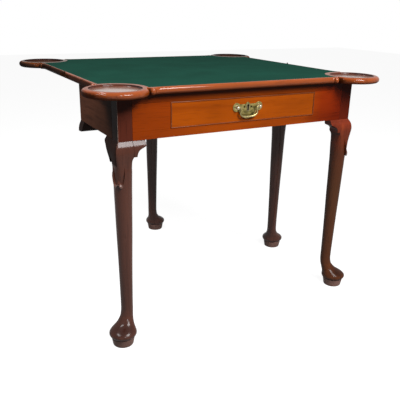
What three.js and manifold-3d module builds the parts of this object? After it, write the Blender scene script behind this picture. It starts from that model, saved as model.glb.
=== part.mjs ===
import * as THREE from 'three';
import { mergeVertices } from 'three/addons/utils/BufferGeometryUtils.js';
import Module from 'manifold-3d';

// A folding games table on four pad-foot legs, in millimetres, +Z up.
// The origin lies on the floor under the middle of the fold line. +X is the sitter's right, and +Y the back.
// The table stands open: the folding leaf lies back on the gate leg, which is swung out square to the frame.

const wasm = await Module();
wasm.setup();

// Clearances
const fit = 0.3; // between wood or metal faces that touch
const running = 0.5; // between a moving piece and what guides it
const overrun = 5; // how far a cutter passes a face

// The top, two leaves of one outline that meet at the fold line
const topHeight = 725;
const topThickness = 19;
const topWidth = 832; // between the straight side edges
const leafDepth = 387; // from the fold line to the straight front edge
const edgeRound = 8; // how far the rounded edge draws in, above and below
const foldGap = 0.6; // between the two leaves
const foldPivotRise = 0.3; // of the fold axis above the top

// The candle stands, round lobes at the four corners
const standInset = 28; // centre to each straight edge
const dishRadius = 66.5;
const standRim = 17.5; // of wood round a dish
const dishDepth = 6;
const dishCove = 5; // radius of the cove where the dish wall meets its floor

// The cusp that ends each straight edge beside a lobe
const cuspRadius = 9;
const cuspSweep = 26; // length over which the edge flows out to the cusp
const notchWidth = 5; // between the lobe and the cusp
const notchLap = 5.7; // of the notch into the lobe, on the line of the straight edge
const notchCut = 7; // of the notch's bottom inside the line of the straight edge
const notchRoundShare = 0.4; // of the edge's rounding that the notch's bottom has

// The cloth
const clothBorder = 9; // of bare wood along the straight edges
const clothDishBorder = 15.5; // of bare wood round the dishes
const clothThickness = 1;
const clothRecess = 1.5;

// The frame
const frontOverhang = 21.3; // of the top's straight edges beyond the frame
const sideOverhang = 27;
const friezeHeight = 116.6;
const backSetback = 14; // of the back legs in front of the fold line
const stileWidth = 40; // of the square top of each leg
const railThickness = 20;
const backRailThickness = 20;

// The legs
const kneeBulge = 11.4; // of the knee beyond the stile's outer faces
const kneeTopBulge = 0.5;
const kneeDrop = 30; // from the frieze to the fullest part of the knee
const kneeHeight = 82;
const kneeStep = 0.6; // height of the shoulder under the frieze
const shaftDiameter = 48.4; // under the knee
const shaftInset = 15.2; // of the shaft's axis from the stile's outer faces
const ankleDiameter = 34.5;
const ankleHeight = 100;
const ankleInset = 17;
const padDiameter = 78.5;
const padHeight = 33; // of the widest part of the foot
const padReach = 5.7; // of the foot's centre beyond the stile's outer faces
const platformDiameter = 60;
const platformFloorDiameter = 53.5;
const platformHeight = 20;
const lappetRise = 5; // of the carved tongue above the shaft
const lappetDrop = 119; // from the frieze to the tongue's tip
const lappetHalfAngle = 42; // degrees to each side of the leg's corner

// The knee brackets
const bracketReach = 75; // from the leg's outer corner to the bracket's tip
const bracketDrop = 41;
const bracketDepth = 25; // behind the frame's face
const sideBracketReach = 85;
const sideBracketDrop = 60;
const railBracketDrop = 31; // of the bracket that stays on the left rail
const railBracketDepth = 46;

// The gate
const flyRailThickness = 32;
const gatePivotX = 12.5;
const knuckleCount = 5;
const knucklePinDiameter = 8;
const gateClearance = 1; // between the closed gate leg and the end of the side rail
const flyRailDrop = 1.5; // of the swinging rail's top below the leaf

// The drawer
const drawerWidth = 481;
const drawerHeight = 70;
const drawerTopDrop = 24; // from the top of the frieze
const drawerBackGap = 29.4; // between the drawer and the back rail
const drawerFrontThickness = 20;
const drawerSideThickness = 10;
const drawerBottomThickness = 7;
const drawerBottomRise = 7; // of the bottom above the sides' lower edges
const drawerGroove = 4;
const drawerTopGap = 1;
const beadWidth = 3.2;
const beadDepth = 8;
const beadReach = 1.6; // of the bead in front of the drawer's face
const runnerWidth = 36;
const runnerLap = 14.4; // of the runner under the drawer
const runnerThickness = 18;
const guideHeight = 22;
const stopLength = 32;
const stopHeight = 4;
const stopDepth = 12;
const stopSpread = 220; // between the two drawer stops

// The lock
const keyholeRise = 3.4; // of the keyhole's round part above the handle's posts
const keyholeRadius = 2.6;
const keyholeSlotWidth = 3;
const keyholeSlotLength = 14; // from the middle of the round part
const lockWidth = 50;
const lockDepth = 10;
const lockBottomDrop = 44; // from the drawer's top edge to the bottom of the lock
const boltWidth = 16;
const boltThickness = 5;
const boltLength = 26;
const boltTravel = 7;
const boltSet = 0.5; // of the drawn bolt below the drawer's top edge
const lockScrewSpread = 38;
const lockScrewRise = 8;
const lockScrewDiameter = 3;
const lockScrewGrip = 5; // of the screw in the drawer front

// The handle
const plateThickness = 1.5;
const plateWingSpread = 74; // between the posts
const postDrop = 28; // of the posts below the drawer's top edge
const wingRadius = 12.5;
const shieldInset = 7; // of the shield's widest part inside each post
const shieldBottomDrop = 33; // from the posts' height
const plateTopRise = 8; // from the posts' height to the plate's top edge
const keyBossRadius = 7;
const keyBossRise = 6; // of the boss's centre above the posts' height
const shankDiameter = 5;
const postReach = 8; // from the drawer's face to the bail's axis
const postBallRadius = 5.6;
const postFlangeRadius = 6.5;
const postNeckRadius = 3.2;
const nutDiameter = 12;
const nutThickness = 4;
const bailDiameter = 4.4;
const bailDrop = 27.5; // from the posts' axis to the middle of the bail's lowest bow
const bailSideGap = 0.7; // between each arm and its post
const bailPinReach = 4.5; // of the bail's ends beyond the posts' middles

// The hinges of the top, let into its side edges
const hingeLeafLength = 46;
const hingeLeafWidth = 10;
const hingeDrop = 4.5; // of the plate's upper edge below the top
const hingeThickness = 2.6; // of a plate
const hingeEyeRadius = 2.4;
const hingePinDiameter = 1.8;
const hingeScrewDiameter = 2.4;
const hingeScrewLength = 14;
const hingeScrewOffset = 14; // of the first screw from the fold line
const hingeScrewMargin = 8; // of the second screw from the plate's far end

// Blocks and screws that hold the top to the frame, in pairs on the side rails
const blockLength = 60;
const blockWidth = 24;
const topScrewDiameter = 4;
const topScrewHead = 8;
const topScrewBite = 12; // into the top
const blockMargin = 22.7; // between a block and the front or back rail

// Counts of facets
const lobeSteps = 20;
const sweepSteps = 3;
const edgeSteps = 6;
const dishSides = 28;
const coveSteps = 3;
const legSides = 24;
const roundSides = 12;
const fineSides = 8;
const nutSides = 6;
const bailSteps = 44;

// Heights and faces that follow from the sizes above
const halfWidth = topWidth / 2;
const topBottom = topHeight - topThickness;
const friezeBottom = topBottom - friezeHeight;
const frameTop = topBottom - fit;
const frameX = halfWidth - sideOverhang;
const frontY = -(leafDepth - frontOverhang);
const backY = -backSetback;
const stileFrontY = backY - stileWidth;
const railEndY = stileFrontY - gateClearance;
const backRailBackY = stileFrontY - fit;
const backRailY = backRailBackY - backRailThickness; // its front face
const gatePivotY = backRailBackY + running + flyRailThickness / 2;
const innerX = frameX - stileWidth;
const railInnerX = frameX - railThickness;
const frontRailBackY = frontY + stileWidth;
const standX = halfWidth - standInset;
const standY = leafDepth - standInset;
const standRadius = dishRadius + standRim;
const drawerTop = topBottom - drawerTopDrop;
const drawerBottom = drawerTop - drawerHeight;
const runnerTop = drawerBottom - fit;
const openingTop = drawerTop + drawerTopGap;
const openingHalf = drawerWidth / 2 + running;
const drawerBackY = frontY + drawerFrontThickness;
const postHeight = drawerTop - postDrop;
const keyholeHeight = postHeight + keyholeRise;

// Materials
const finish = (color, roughness, metalness = 0) =>
  new THREE.MeshStandardMaterial({ color, roughness, metalness });
const frontWood = finish(0x8a4317, 0.35);
const darkWood = finish(0x47231a, 0.35);
const topWood = finish(0x7a3a18, 0.3);
const innerWood = finish(0xa08058, 0.8);
const cloth = finish(0x1d4a3e, 0.95);
const brass = finish(0x9c8a4c, 0.4, 0.9);
const steel = finish(0x5c5a57, 0.5, 0.9);

// Solids

// The solid of a closed geometry, with shared corners merged and empty triangles dropped
function toSolid(geometry) {
  const plain = geometry.clone();
  plain.deleteAttribute('normal');
  plain.deleteAttribute('uv');
  const merged = mergeVertices(plain);
  const index = merged.index.array;
  const kept = [];
  for (let i = 0; i < index.length; i += 3) {
    const [a, b, c] = [index[i], index[i + 1], index[i + 2]];
    if (a !== b && b !== c && c !== a) kept.push(a, b, c);
  }
  const vertProperties = new Float32Array(merged.attributes.position.array);
  return new wasm.Manifold(new wasm.Mesh({ numProp: 3, vertProperties, triVerts: new Uint32Array(kept) }));
}

function toGeometry(solid) {
  const mesh = solid.getMesh();
  const geometry = new THREE.BufferGeometry();
  geometry.setAttribute('position', new THREE.BufferAttribute(new Float32Array(mesh.vertProperties), 3));
  geometry.setIndex([...mesh.triVerts]);
  return geometry;
}

const cut = (geometry, ...cutters) => toGeometry(cutters.reduce(
  (solid, cutter) => solid.subtract(toSolid(cutter)), toSolid(geometry)));
const join = (geometry, ...others) => toGeometry(others.reduce(
  (solid, other) => solid.add(toSolid(other)), toSolid(geometry)));

// A block between two opposite corners
function block(x0, x1, y0, y1, z0, z1) {
  const geometry = new THREE.BoxGeometry(x1 - x0, y1 - y0, z1 - z0);
  return geometry.translate((x0 + x1) / 2, (y0 + y1) / 2, (z0 + z1) / 2);
}

// Turns from the +Y that a cylinder or a lathe stands along to the axis that is asked for
const turns = {
  x: new THREE.Matrix4().makeRotationZ(-Math.PI / 2),
  y: new THREE.Matrix4(),
  z: new THREE.Matrix4().makeRotationX(Math.PI / 2),
};

// A round rod that starts at a point and runs along X, Y or Z
function rod(axis, diameter, length, x, y, z, sides = roundSides) {
  const geometry = new THREE.CylinderGeometry(diameter / 2, diameter / 2, length, sides);
  geometry.translate(0, length / 2, 0).applyMatrix4(turns[axis]);
  return geometry.translate(x, y, z);
}

// A turned piece: its profile lists [radius, distance along the axis], from end to end
function turned(axis, profile, x, y, z, sides = roundSides) {
  const points = profile.map(([radius, along]) => new THREE.Vector2(radius, along));
  return new THREE.LatheGeometry(points, sides).applyMatrix4(turns[axis]).translate(x, y, z);
}

// A countersunk screw along an axis, head first, its tip at the far end of its length
function screw(axis, diameter, headDiameter, length, x, y, z) {
  const head = (headDiameter - diameter) / 2;
  const profile = [[0, 0], [headDiameter / 2, 0], [diameter / 2, head], [diameter / 2, length - diameter]];
  return turned(axis, [...profile, [0, length]], x, y, z, fineSides);
}

// The hole that such a screw sits in, wider all round by the fit
const screwHole = (axis, diameter, headDiameter, length, x, y, z) => screw(
  axis, diameter + 2 * fit, headDiameter + 4 * fit, length + 2 * fit, x, y, z);

// A closed skin over rings of points that run counter-clockwise seen from above, listed downwards
function skin(rings) {
  const sides = rings[0].length;
  const positions = rings.flat().flatMap(({ x, y, z }) => [x, y, z]);
  const index = [];
  for (let ring = 0; ring + 1 < rings.length; ring++) {
    for (let side = 0; side < sides; side++) {
      const next = (side + 1) % sides;
      const [a, b] = [ring * sides + side, ring * sides + next];
      index.push(a, a + sides, b, b, a + sides, b + sides);
    }
  }
  const triangles = ring =>
    THREE.ShapeUtils.triangulateShape(ring.map(({ x, y }) => new THREE.Vector2(x, y)), []);
  const first = (rings.length - 1) * sides;
  for (const [a, b, c] of triangles(rings[0])) index.push(a, b, c);
  for (const [a, b, c] of triangles(rings[rings.length - 1])) index.push(first + a, first + c, first + b);
  const geometry = new THREE.BufferGeometry();
  geometry.setAttribute('position', new THREE.Float32BufferAttribute(positions, 3));
  geometry.setIndex(index);
  return geometry;
}

// A flat outline given thickness along Z
const plank = (outline, z0, z1) => new THREE.ExtrudeGeometry(
  new THREE.Shape(outline), { depth: z1 - z0, bevelEnabled: false }).translate(0, 0, z0);

// The scene graph
const table = new THREE.Group();
const frame = new THREE.Group();
const foldingTop = new THREE.Group();
const gate = new THREE.Group();
const drawer = new THREE.Group();
table.add(frame, foldingTop, gate, drawer);

function piece(parent, name, geometry, material) {
  const mesh = new THREE.Mesh(geometry, material);
  mesh.name = name;
  parent.add(mesh);
  return mesh;
}

// Outline of the top

// One corner's outline from its straight part to the middle of the lobe, as [along, out] from the lobe's
// centre: along runs down the edge towards its middle, and out is square to it. Inset draws it all in.
function halfCorner(inset) {
  const points = [];
  const cuspTurnShares = [0.27, 0.45, 0.65, 0.9, 1.12]; // of a half turn round the cusp, from the edge's side
  const lobeEnd = Math.sqrt(standRadius ** 2 - standInset ** 2) - notchLap;
  const cuspRun = lobeEnd + notchWidth + cuspRadius;
  const reach = Math.max(cuspRadius - inset, fit);
  const from = new THREE.Vector2(cuspRun + cuspSweep, standInset - inset);
  const start = cuspTurnShares[0] * Math.PI;
  const to = new THREE.Vector2(cuspRun + reach * Math.cos(start), standInset + reach * Math.sin(start));
  const bend = new THREE.Vector2(to.x + (to.y - from.y) * Math.tan(start), from.y);
  points.push(...new THREE.QuadraticBezierCurve(from, bend, to).getPoints(sweepSteps));
  for (const share of cuspTurnShares.slice(1)) {
    const angle = share * Math.PI;
    points.push(new THREE.Vector2(cuspRun + reach * Math.cos(angle), standInset + reach * Math.sin(angle)));
  }
  const notchOut = standInset - notchCut - notchRoundShare * inset;
  points.push(new THREE.Vector2(lobeEnd + notchWidth / 2, notchOut));
  const lobeStart = Math.acos(lobeEnd / standRadius);
  for (let step = 0; step <= lobeSteps / 2; step++) {
    const angle = lobeStart + (3 * Math.PI / 4 - lobeStart) * step / (lobeSteps / 2);
    const radius = standRadius - inset;
    points.push(new THREE.Vector2(radius * Math.cos(angle), radius * Math.sin(angle)));
  }
  return points;
}

// The whole top's outline, counter-clockwise
function topOutline(inset) {
  const half = halfCorner(inset).map(({ x: along, y: out }) => ({ along, out }));
  const side = half.map(({ along, out }) => new THREE.Vector2(standX + out, standY - along));
  const back = half.slice(0, -1).map(({ along, out }) => new THREE.Vector2(standX - along, standY + out));
  const corner = [...side, ...back.reverse()];
  const flip = (sx, sy) => corner.map(({ x, y }) => new THREE.Vector2(sx * x, sy * y));
  return [...corner, ...flip(-1, 1).reverse(), ...flip(-1, -1), ...flip(1, -1).reverse()];
}

// The slab of the whole top, with its rounded edge
function topSlab() {
  const rings = [];
  for (let step = 0; step <= edgeSteps; step++) {
    const angle = Math.PI / 2 - Math.PI * step / edgeSteps;
    const inset = edgeRound * (1 - Math.cos(angle));
    const z = topBottom + topThickness * (1 + Math.sin(angle)) / 2;
    rings.push(topOutline(inset).map(({ x, y }) => new THREE.Vector3(x, y, z)));
  }
  return skin(rings);
}

// Outline of the cloth on the back half, grown all round by a clearance
function clothOutline(grow) {
  const edgeX = halfWidth - clothBorder + grow;
  const edgeY = leafDepth - clothBorder + grow;
  const radius = dishRadius + clothDishBorder - grow;
  const past = Math.asin((edgeX - standX) / radius); // of the round cut beyond a quarter turn, each way
  const right = [new THREE.Vector2(edgeX, grow ? -overrun : foldGap / 2)];
  const steps = lobeSteps / 2;
  for (let step = 0; step <= steps; step++) {
    const turn = past - Math.PI / 2 - (Math.PI / 2 + 2 * past) * step / steps;
    right.push(new THREE.Vector2(standX + radius * Math.cos(turn), standY + radius * Math.sin(turn)));
  }
  const left = right.map(({ x, y }) => new THREE.Vector2(-x, y)).reverse();
  return [...right, ...left];
}

// The cutter of a candle stand's dish
function dishCutter(x, y) {
  const profile = [[0, -dishDepth]];
  for (let step = 0; step <= coveSteps; step++) {
    const angle = Math.PI / 2 * step / coveSteps;
    const radius = dishRadius - dishCove * (1 - Math.sin(angle));
    profile.push([radius, -dishDepth + dishCove * (1 - Math.cos(angle))]);
  }
  profile.push([dishRadius, overrun], [0, overrun]);
  return turned('z', profile, x, y, topHeight, dishSides);
}

// The hinges of the top

const hingeTop = topHeight - hingeDrop;
const hingeZ = hingeTop - hingeLeafWidth / 2;
const foldZ = topHeight + foldPivotRise;
const hingeScrewY = [hingeScrewOffset, hingeLeafLength - hingeScrewMargin];

// One hinge plate on the back half of the right edge, in one with its screws. The two plates' eyes share the
// thickness: the folding leaf's eye lies outside, and turns on a pin riveted into the fixed leaf's.
function hingePlate(outer) {
  const faceX = halfWidth - fit;
  const backX = faceX - hingeThickness;
  const eyeThickness = (hingeThickness - fit) / 2;
  const eyeX = outer ? faceX - eyeThickness : backX;
  const armTop = foldZ - hingeEyeRadius / 2;
  const plate = block(backX, faceX, foldGap / 2 + fit, hingeLeafLength, hingeTop - hingeLeafWidth, hingeTop);
  const armLength = 2 * hingeEyeRadius + foldGap;
  const arm = block(eyeX, eyeX + eyeThickness, 0, armLength, hingeTop - hingeEyeRadius, armTop);
  const eye = rod('x', 2 * hingeEyeRadius, eyeThickness, eyeX, 0, foldZ);
  const pin = rod('x', hingePinDiameter, hingeThickness, backX, 0, foldZ);
  const screwX = faceX - hingeScrewLength;
  const screws = hingeScrewY.map(y =>
    rod('x', hingeScrewDiameter, hingeScrewLength, screwX, y, hingeZ, fineSides));
  if (!outer) return join(plate, arm, eye, pin, ...screws);
  const bore = rod('x', hingePinDiameter + 2 * fit, hingeThickness, backX, 0, foldZ);
  return cut(join(plate, arm, eye, ...screws), bore);
}

// The pocket for one hinge plate and its screws on the back half of the right edge
function hingePocket() {
  const acrossX = [halfWidth - hingeThickness - 2 * fit, halfWidth + overrun];
  const pocket = block(
    ...acrossX, -overrun, hingeLeafLength + fit, hingeTop - hingeLeafWidth - fit, hingeTop + fit);
  const neck = block(
    ...acrossX, -overrun, 3 * hingeEyeRadius, hingeTop - hingeEyeRadius, topHeight + overrun);
  const holes = hingeScrewY.map(y => rod('x', hingeScrewDiameter + 2 * fit, hingeScrewLength + fit,
    halfWidth - 2 * fit - hingeScrewLength, y, hingeZ, fineSides));
  return [pocket, neck, ...holes];
}

const mirrorX = geometry => mirrored(geometry, -1, 1);
const mirrorY = geometry => mirrored(geometry, 1, -1);

// A geometry mirrored across X or Y, its faces turned back outward
function mirrored(geometry, sx, sy) {
  const flipped = geometry.index ? geometry.toNonIndexed() : geometry.clone();
  flipped.scale(sx, sy, 1);
  const position = flipped.attributes.position;
  for (let i = 0; i < position.count; i += 3) {
    const [a, c] = [i + 1, i + 2].map(k => new THREE.Vector3().fromBufferAttribute(position, k));
    position.setXYZ(i + 1, c.x, c.y, c.z);
    position.setXYZ(i + 2, a.x, a.y, a.z);
  }
  return flipped;
}

// Where the blocks stand that hold the top, against the side rails
const blockRows = [
  ['front', frontRailBackY + blockMargin + blockLength / 2],
  ['back', backRailY - blockMargin - blockLength / 2],
];
const blockPlaces = blockRows.flatMap(([row, y]) => [['left', -1], ['right', 1]].map(([side, right]) => (
  { name: `${row}_${side}`, x: right * (railInnerX - fit - blockWidth / 2), y })));
const topScrewLength = blockWidth + topScrewBite;
const topScrewZ = frameTop - blockWidth;

// The two leaves

const slab = topSlab();
const reach = topWidth + 2 * standRadius;
const backHalf = block(-reach, reach, foldGap / 2, reach, topBottom - overrun, topHeight + overrun);
const backLeaf = toGeometry(toSolid(slab).intersect(toSolid(backHalf)));
const clothFloor = topHeight - clothRecess;
const clothPocket = plank(clothOutline(fit), clothFloor, topHeight + overrun);
const rightPocket = hingePocket();
const leafCutters = [clothPocket, dishCutter(standX, standY), dishCutter(-standX, standY),
  ...rightPocket, ...rightPocket.map(mirrorX)];
const leaf = cut(backLeaf, ...leafCutters);
const blindHoles = blockPlaces.map(({ x, y }) =>
  rod('z', topScrewDiameter + 2 * fit, topScrewLength + fit, x, y, topScrewZ, fineSides));

piece(frame, 'fixed_leaf', cut(mirrorY(leaf), ...blindHoles), topWood);
piece(foldingTop, 'folding_leaf', leaf, topWood);
const clothSheet = plank(clothOutline(0), clothFloor + fit, clothFloor + fit + clothThickness);
piece(frame, 'fixed_leaf_baize', mirrorY(clothSheet), cloth);
piece(foldingTop, 'folding_leaf_baize', clothSheet, cloth);

for (const [side, flip] of [['right', geometry => geometry], ['left', mirrorX]]) {
  piece(frame, `${side}_hinge_fixed_plate`, flip(mirrorY(hingePlate(false))), brass);
  piece(foldingTop, `${side}_hinge_folding_plate`, flip(hingePlate(true)), brass);
}

// The legs

// The squareness of a section: the power in its outline's formula
const square = Infinity;
const nearlySquare = 16;
const circle = 2;

// The knee below the frieze: [drop, growth of the bulge] as shares of both sizes, and its squareness
const kneeShares = [[0, 0, nearlySquare], [0.1, 0.13, 24], [0.2, 0.31, 20], [0.33, 0.54, 14], [0.6, 0.84, 11],
  [1, 1, 8], [1.4, 0.91, 6], [1.9, 0.76, 4.5], [2.33, 0.73, 3.4]];

// How far the knee stands out beyond the stile's faces at a drop below the frieze
function bulgeAt(drop) {
  const share = Math.min(drop / kneeDrop, kneeShares[kneeShares.length - 1][0]);
  const next = kneeShares.findIndex(([dropShare], i) => i > 0 && dropShare >= share);
  const [above, below] = [kneeShares[next - 1], kneeShares[next]];
  const growth = THREE.MathUtils.mapLinear(share, above[0], below[0], above[1], below[1]);
  return kneeTopBulge + (kneeBulge - kneeTopBulge) * growth;
}

// Levels of a leg, downwards: its height, the middle and half width of its section, and its squareness. The
// reaches of a level are counted from the stile's outer faces, outwards and inwards.
function legLevels() {
  const level = (z, outer, inner, squareness) =>
    ({ z, centre: (outer - inner) / 2, half: (outer + inner) / 2, squareness });
  const round = (z, centre, diameter) => ({ z, centre, half: diameter / 2, squareness: circle });
  const levels = [
    level(frameTop, 0, stileWidth, square),
    level(friezeBottom, 0, stileWidth, square),
    level(friezeBottom - kneeStep, kneeTopBulge, stileWidth - 2 * fit, nearlySquare),
  ];
  for (const [dropShare, , squareness] of kneeShares.slice(1)) {
    const drop = kneeDrop * dropShare;
    levels.push(level(friezeBottom - drop, bulgeAt(drop), stileWidth - 2 * fit, squareness));
  }
  const shaftTop = friezeBottom - kneeHeight;
  const shaftShares = [[0, 1], [0.16, 0.96], [0.24, 0.87], [0.42, 0.67], [0.6, 0.4], [0.8, 0.15], [1, 0]];
  for (const [fallShare, sizeShare] of shaftShares) {
    const z = shaftTop + (ankleHeight - shaftTop) * fallShare;
    const centre = -(shaftInset + (ankleInset - shaftInset) * fallShare);
    levels.push(round(z, centre, ankleDiameter + (shaftDiameter - ankleDiameter) * sizeShare));
  }
  const footShares = [[0.68, 0.09, 0.04], [0.5, 0.28, 0.17], [0.36, 0.5, 0.37], [0.24, 0.74, 0.62],
    [0.13, 0.92, 0.86], [0.04, 1, 0.985], [-0.04, 1, 1]];
  for (const [riseShare, shiftShare, sizeShare] of footShares) {
    const z = padHeight + (ankleHeight - padHeight) * riseShare;
    const centre = -ankleInset + (ankleInset + padReach) * shiftShare;
    levels.push(round(z, centre, ankleDiameter + (padDiameter - ankleDiameter) * sizeShare));
  }
  const underShares = [[0.55, 0.88], [0.2, 0.4], [0, 0]];
  for (const [riseShare, sizeShare] of underShares) {
    const z = platformHeight + (padHeight - platformHeight) * riseShare;
    levels.push(round(z, padReach, platformDiameter + (padDiameter - platformDiameter) * sizeShare));
  }
  levels.push(round(0, padReach, platformFloorDiameter));
  return levels;
}

// How far the carved tongue stands out at a height, and at an angle from the leg's corner
function lappet(z, angle) {
  const top = friezeBottom - kneeDrop;
  const tip = friezeBottom - lappetDrop;
  const spread = Math.abs(angle) / THREE.MathUtils.degToRad(lappetHalfAngle);
  if (z > top || z < tip || spread >= 1) return 0;
  const fall = (top - z) / (top - tip);
  return lappetRise * Math.sin(fall * Math.PI / 2) * Math.cos(spread * Math.PI / 2) ** 0.5;
}

// A leg that stands on its outer corner, with both outer faces facing +X and +Y
function legGeometry(carved) {
  const levels = legLevels();
  if (carved) {
    const tip = friezeBottom - lappetDrop;
    const steps = [tip + lappetRise, tip, tip - fit];
    const above = levels.findLast(({ z }) => z > tip + lappetRise);
    const below = levels.find(({ z }) => z < tip - fit);
    const at = levels.indexOf(below);
    const between = steps.map(z => {
      const share = (above.z - z) / (above.z - below.z);
      const mix = key => above[key] + (below[key] - above[key]) * share;
      return { z, centre: mix('centre'), half: mix('half'), squareness: circle };
    });
    levels.splice(at, 0, ...between);
  }
  const rings = levels.map(({ z, centre, half, squareness }) => {
    const ring = [];
    for (let side = 0; side < legSides; side++) {
      const angle = 2 * Math.PI * side / legSides;
      const [c, s] = [Math.abs(Math.cos(angle)), Math.abs(Math.sin(angle))];
      const shape = squareness === square
        ? Math.max(c, s) : (c ** squareness + s ** squareness) ** (1 / squareness);
      const fromCorner = Math.atan2(Math.sin(angle - Math.PI / 4), Math.cos(angle - Math.PI / 4));
      const radius = half / shape + (carved ? lappet(z, fromCorner) : 0);
      ring.push(new THREE.Vector3(centre + radius * Math.cos(angle), centre + radius * Math.sin(angle), z));
    }
    return ring;
  });
  return skin(rings);
}

function leg(parent, name, x, y, turn, carved) {
  const mesh = piece(parent, name, legGeometry(carved), darkWood);
  mesh.position.set(x, y, 0);
  mesh.rotation.z = turn;
}
leg(frame, 'front_left_leg', -frameX, frontY, Math.PI, true);
leg(frame, 'front_right_leg', frameX, frontY, -Math.PI / 2, true);
leg(frame, 'back_right_leg', frameX, backY, 0, false);

// The frame's rails

const frontRailX = innerX - fit;
const mortiseTop = drawerTop + boltTravel + 2 * running;
const boltY = drawerBackY - lockDepth / 2 - boltThickness / 2;
const mortise = block(-boltWidth / 2 - running, boltWidth / 2 + running,
  boltY - running, boltY + boltThickness + running, openingTop - overrun, mortiseTop + drawerTopGap);
piece(frame, 'front_top_rail',
  cut(block(-frontRailX, frontRailX, frontY, frontRailBackY, openingTop, frameTop), mortise), frontWood);
piece(frame, 'front_bottom_rail',
  block(-frontRailX, frontRailX, frontY, frontRailBackY, friezeBottom, runnerTop), frontWood);
const frontPanel = block(
  openingHalf, frontRailX, frontY, frontY + railThickness, runnerTop + fit, openingTop - fit);
piece(frame, 'front_right_panel', frontPanel, frontWood);
piece(frame, 'front_left_panel', mirrorX(frontPanel), frontWood);
piece(frame, 'left_side_rail',
  block(-frameX, -railInnerX, frontRailBackY + fit, railEndY, friezeBottom, frameTop), darkWood);
piece(frame, 'right_side_rail',
  block(railInnerX, frameX, frontRailBackY + fit, stileFrontY - fit, friezeBottom, frameTop), darkWood);
piece(frame, 'inner_back_rail',
  block(-railInnerX + fit, railInnerX - fit, backRailY, backRailBackY, friezeBottom, frameTop), innerWood);

// The knee brackets' lower edges: [distance from the leg's outer corner, drop below the frieze], as shares of
// both sizes
const bracketShares = [[0.645, 1], [0.66, 0.84], [0.71, 0.64], [0.79, 0.53], [0.9, 0.44], [0.97, 0.38],
  [1, 0.3]];
const sideBracketShares = [[0.49, 1], [0.535, 0.85], [0.582, 0.72], [0.7, 0.46], [0.794, 0.33], [0.882, 0.25],
  [0.96, 0.19], [1, 0.13]];
const railBracketShares = [[0.64, 1], [0.9, 0.95], [0.98, 0.78], [1, 0.5]];
const railBulgeShare = 0.72; // of the knee's bulge, on the bracket that stays on the left rail
const faceShares = [0, 0.1, 0.2, 0.35, 0.5, 0.7, 0.9, 1]; // of each section's depth, down its face

// A bracket that runs along +X from its leg and faces -Y, with the leg's outer corner at the origin. It is a
// skin over upright sections, and the face of each rolls out from under the frieze as the knee does.
function bracketGeometry(shares, bulgeShare, start, reach, drop, depth) {
  const edge = shares.map(([reachShare, dropShare]) => [reach * reachShare, drop * dropShare]);
  const sections = [[start, drop], ...edge].map(([along, deep]) => {
    const face = faceShares.map(share => [-bulgeShare * bulgeAt(deep * share), deep * share]).reverse();
    return [[depth, 0], [depth, deep], ...face].map(([y, down]) => new THREE.Vector3(y, down, -along));
  });
  const axes = new THREE.Matrix4().makeBasis(
    new THREE.Vector3(0, 1, 0), new THREE.Vector3(0, 0, -1), new THREE.Vector3(-1, 0, 0));
  return skin(sections).applyMatrix4(axes).translate(0, 0, -fit);
}
const bracketStart = stileWidth + fit;
const frontBracket = () => bracketGeometry(
  bracketShares, 1, bracketStart, bracketReach, bracketDrop, bracketDepth)
  .translate(-frameX, frontY, friezeBottom);
const plainSideBracket = () => bracketGeometry(
  sideBracketShares, 1, bracketStart, sideBracketReach, sideBracketDrop, bracketDepth);
const sideBracket = () => plainSideBracket().rotateZ(Math.PI / 2).translate(frameX, frontY, friezeBottom);
const backBracket = () => plainSideBracket().rotateZ(-Math.PI / 2).translate(-frameX, backY, friezeBottom);
const railBracket = () => bracketGeometry(railBracketShares, railBulgeShare,
  stileWidth + gateClearance, bracketReach, railBracketDrop, railBracketDepth)
  .rotateZ(-Math.PI / 2).translate(-frameX, backY, friezeBottom);
piece(frame, 'front_left_front_bracket', frontBracket(), darkWood);
piece(frame, 'front_right_front_bracket', mirrorX(frontBracket()), darkWood);
piece(frame, 'front_right_side_bracket', sideBracket(), darkWood);
piece(frame, 'front_left_side_bracket', mirrorX(sideBracket()), darkWood);
piece(frame, 'back_right_side_bracket', mirrorX(backBracket()), darkWood);
piece(frame, 'left_rail_back_bracket', railBracket(), darkWood);

// The blocks and screws that hold the top

for (const { name, x, y } of blockPlaces) {
  const wood = block(x - blockWidth / 2, x + blockWidth / 2, y - blockLength / 2, y + blockLength / 2,
    frameTop - blockWidth, frameTop);
  const hole = screwHole('z', topScrewDiameter, topScrewHead, topScrewLength, x, y, topScrewZ - fit);
  piece(frame, `${name}_top_block`, cut(wood, hole), innerWood);
  piece(frame, `${name}_top_screw`,
    screw('z', topScrewDiameter, topScrewHead, topScrewLength, x, y, topScrewZ), steel);
}

// The gate, built closed round its pivot and then swung open

gate.position.set(gatePivotX, gatePivotY, 0);
gate.rotation.z = -Math.PI / 2;
const knuckleRadius = flyRailThickness / 2;
const shoulder = knuckleRadius + 2 * running; // from the pivot to the body of either rail
const flyBottom = friezeBottom + fit;
const flyTop = topBottom - flyRailDrop;
const knuckleHeight = (flyTop - flyBottom) / knuckleCount;

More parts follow.
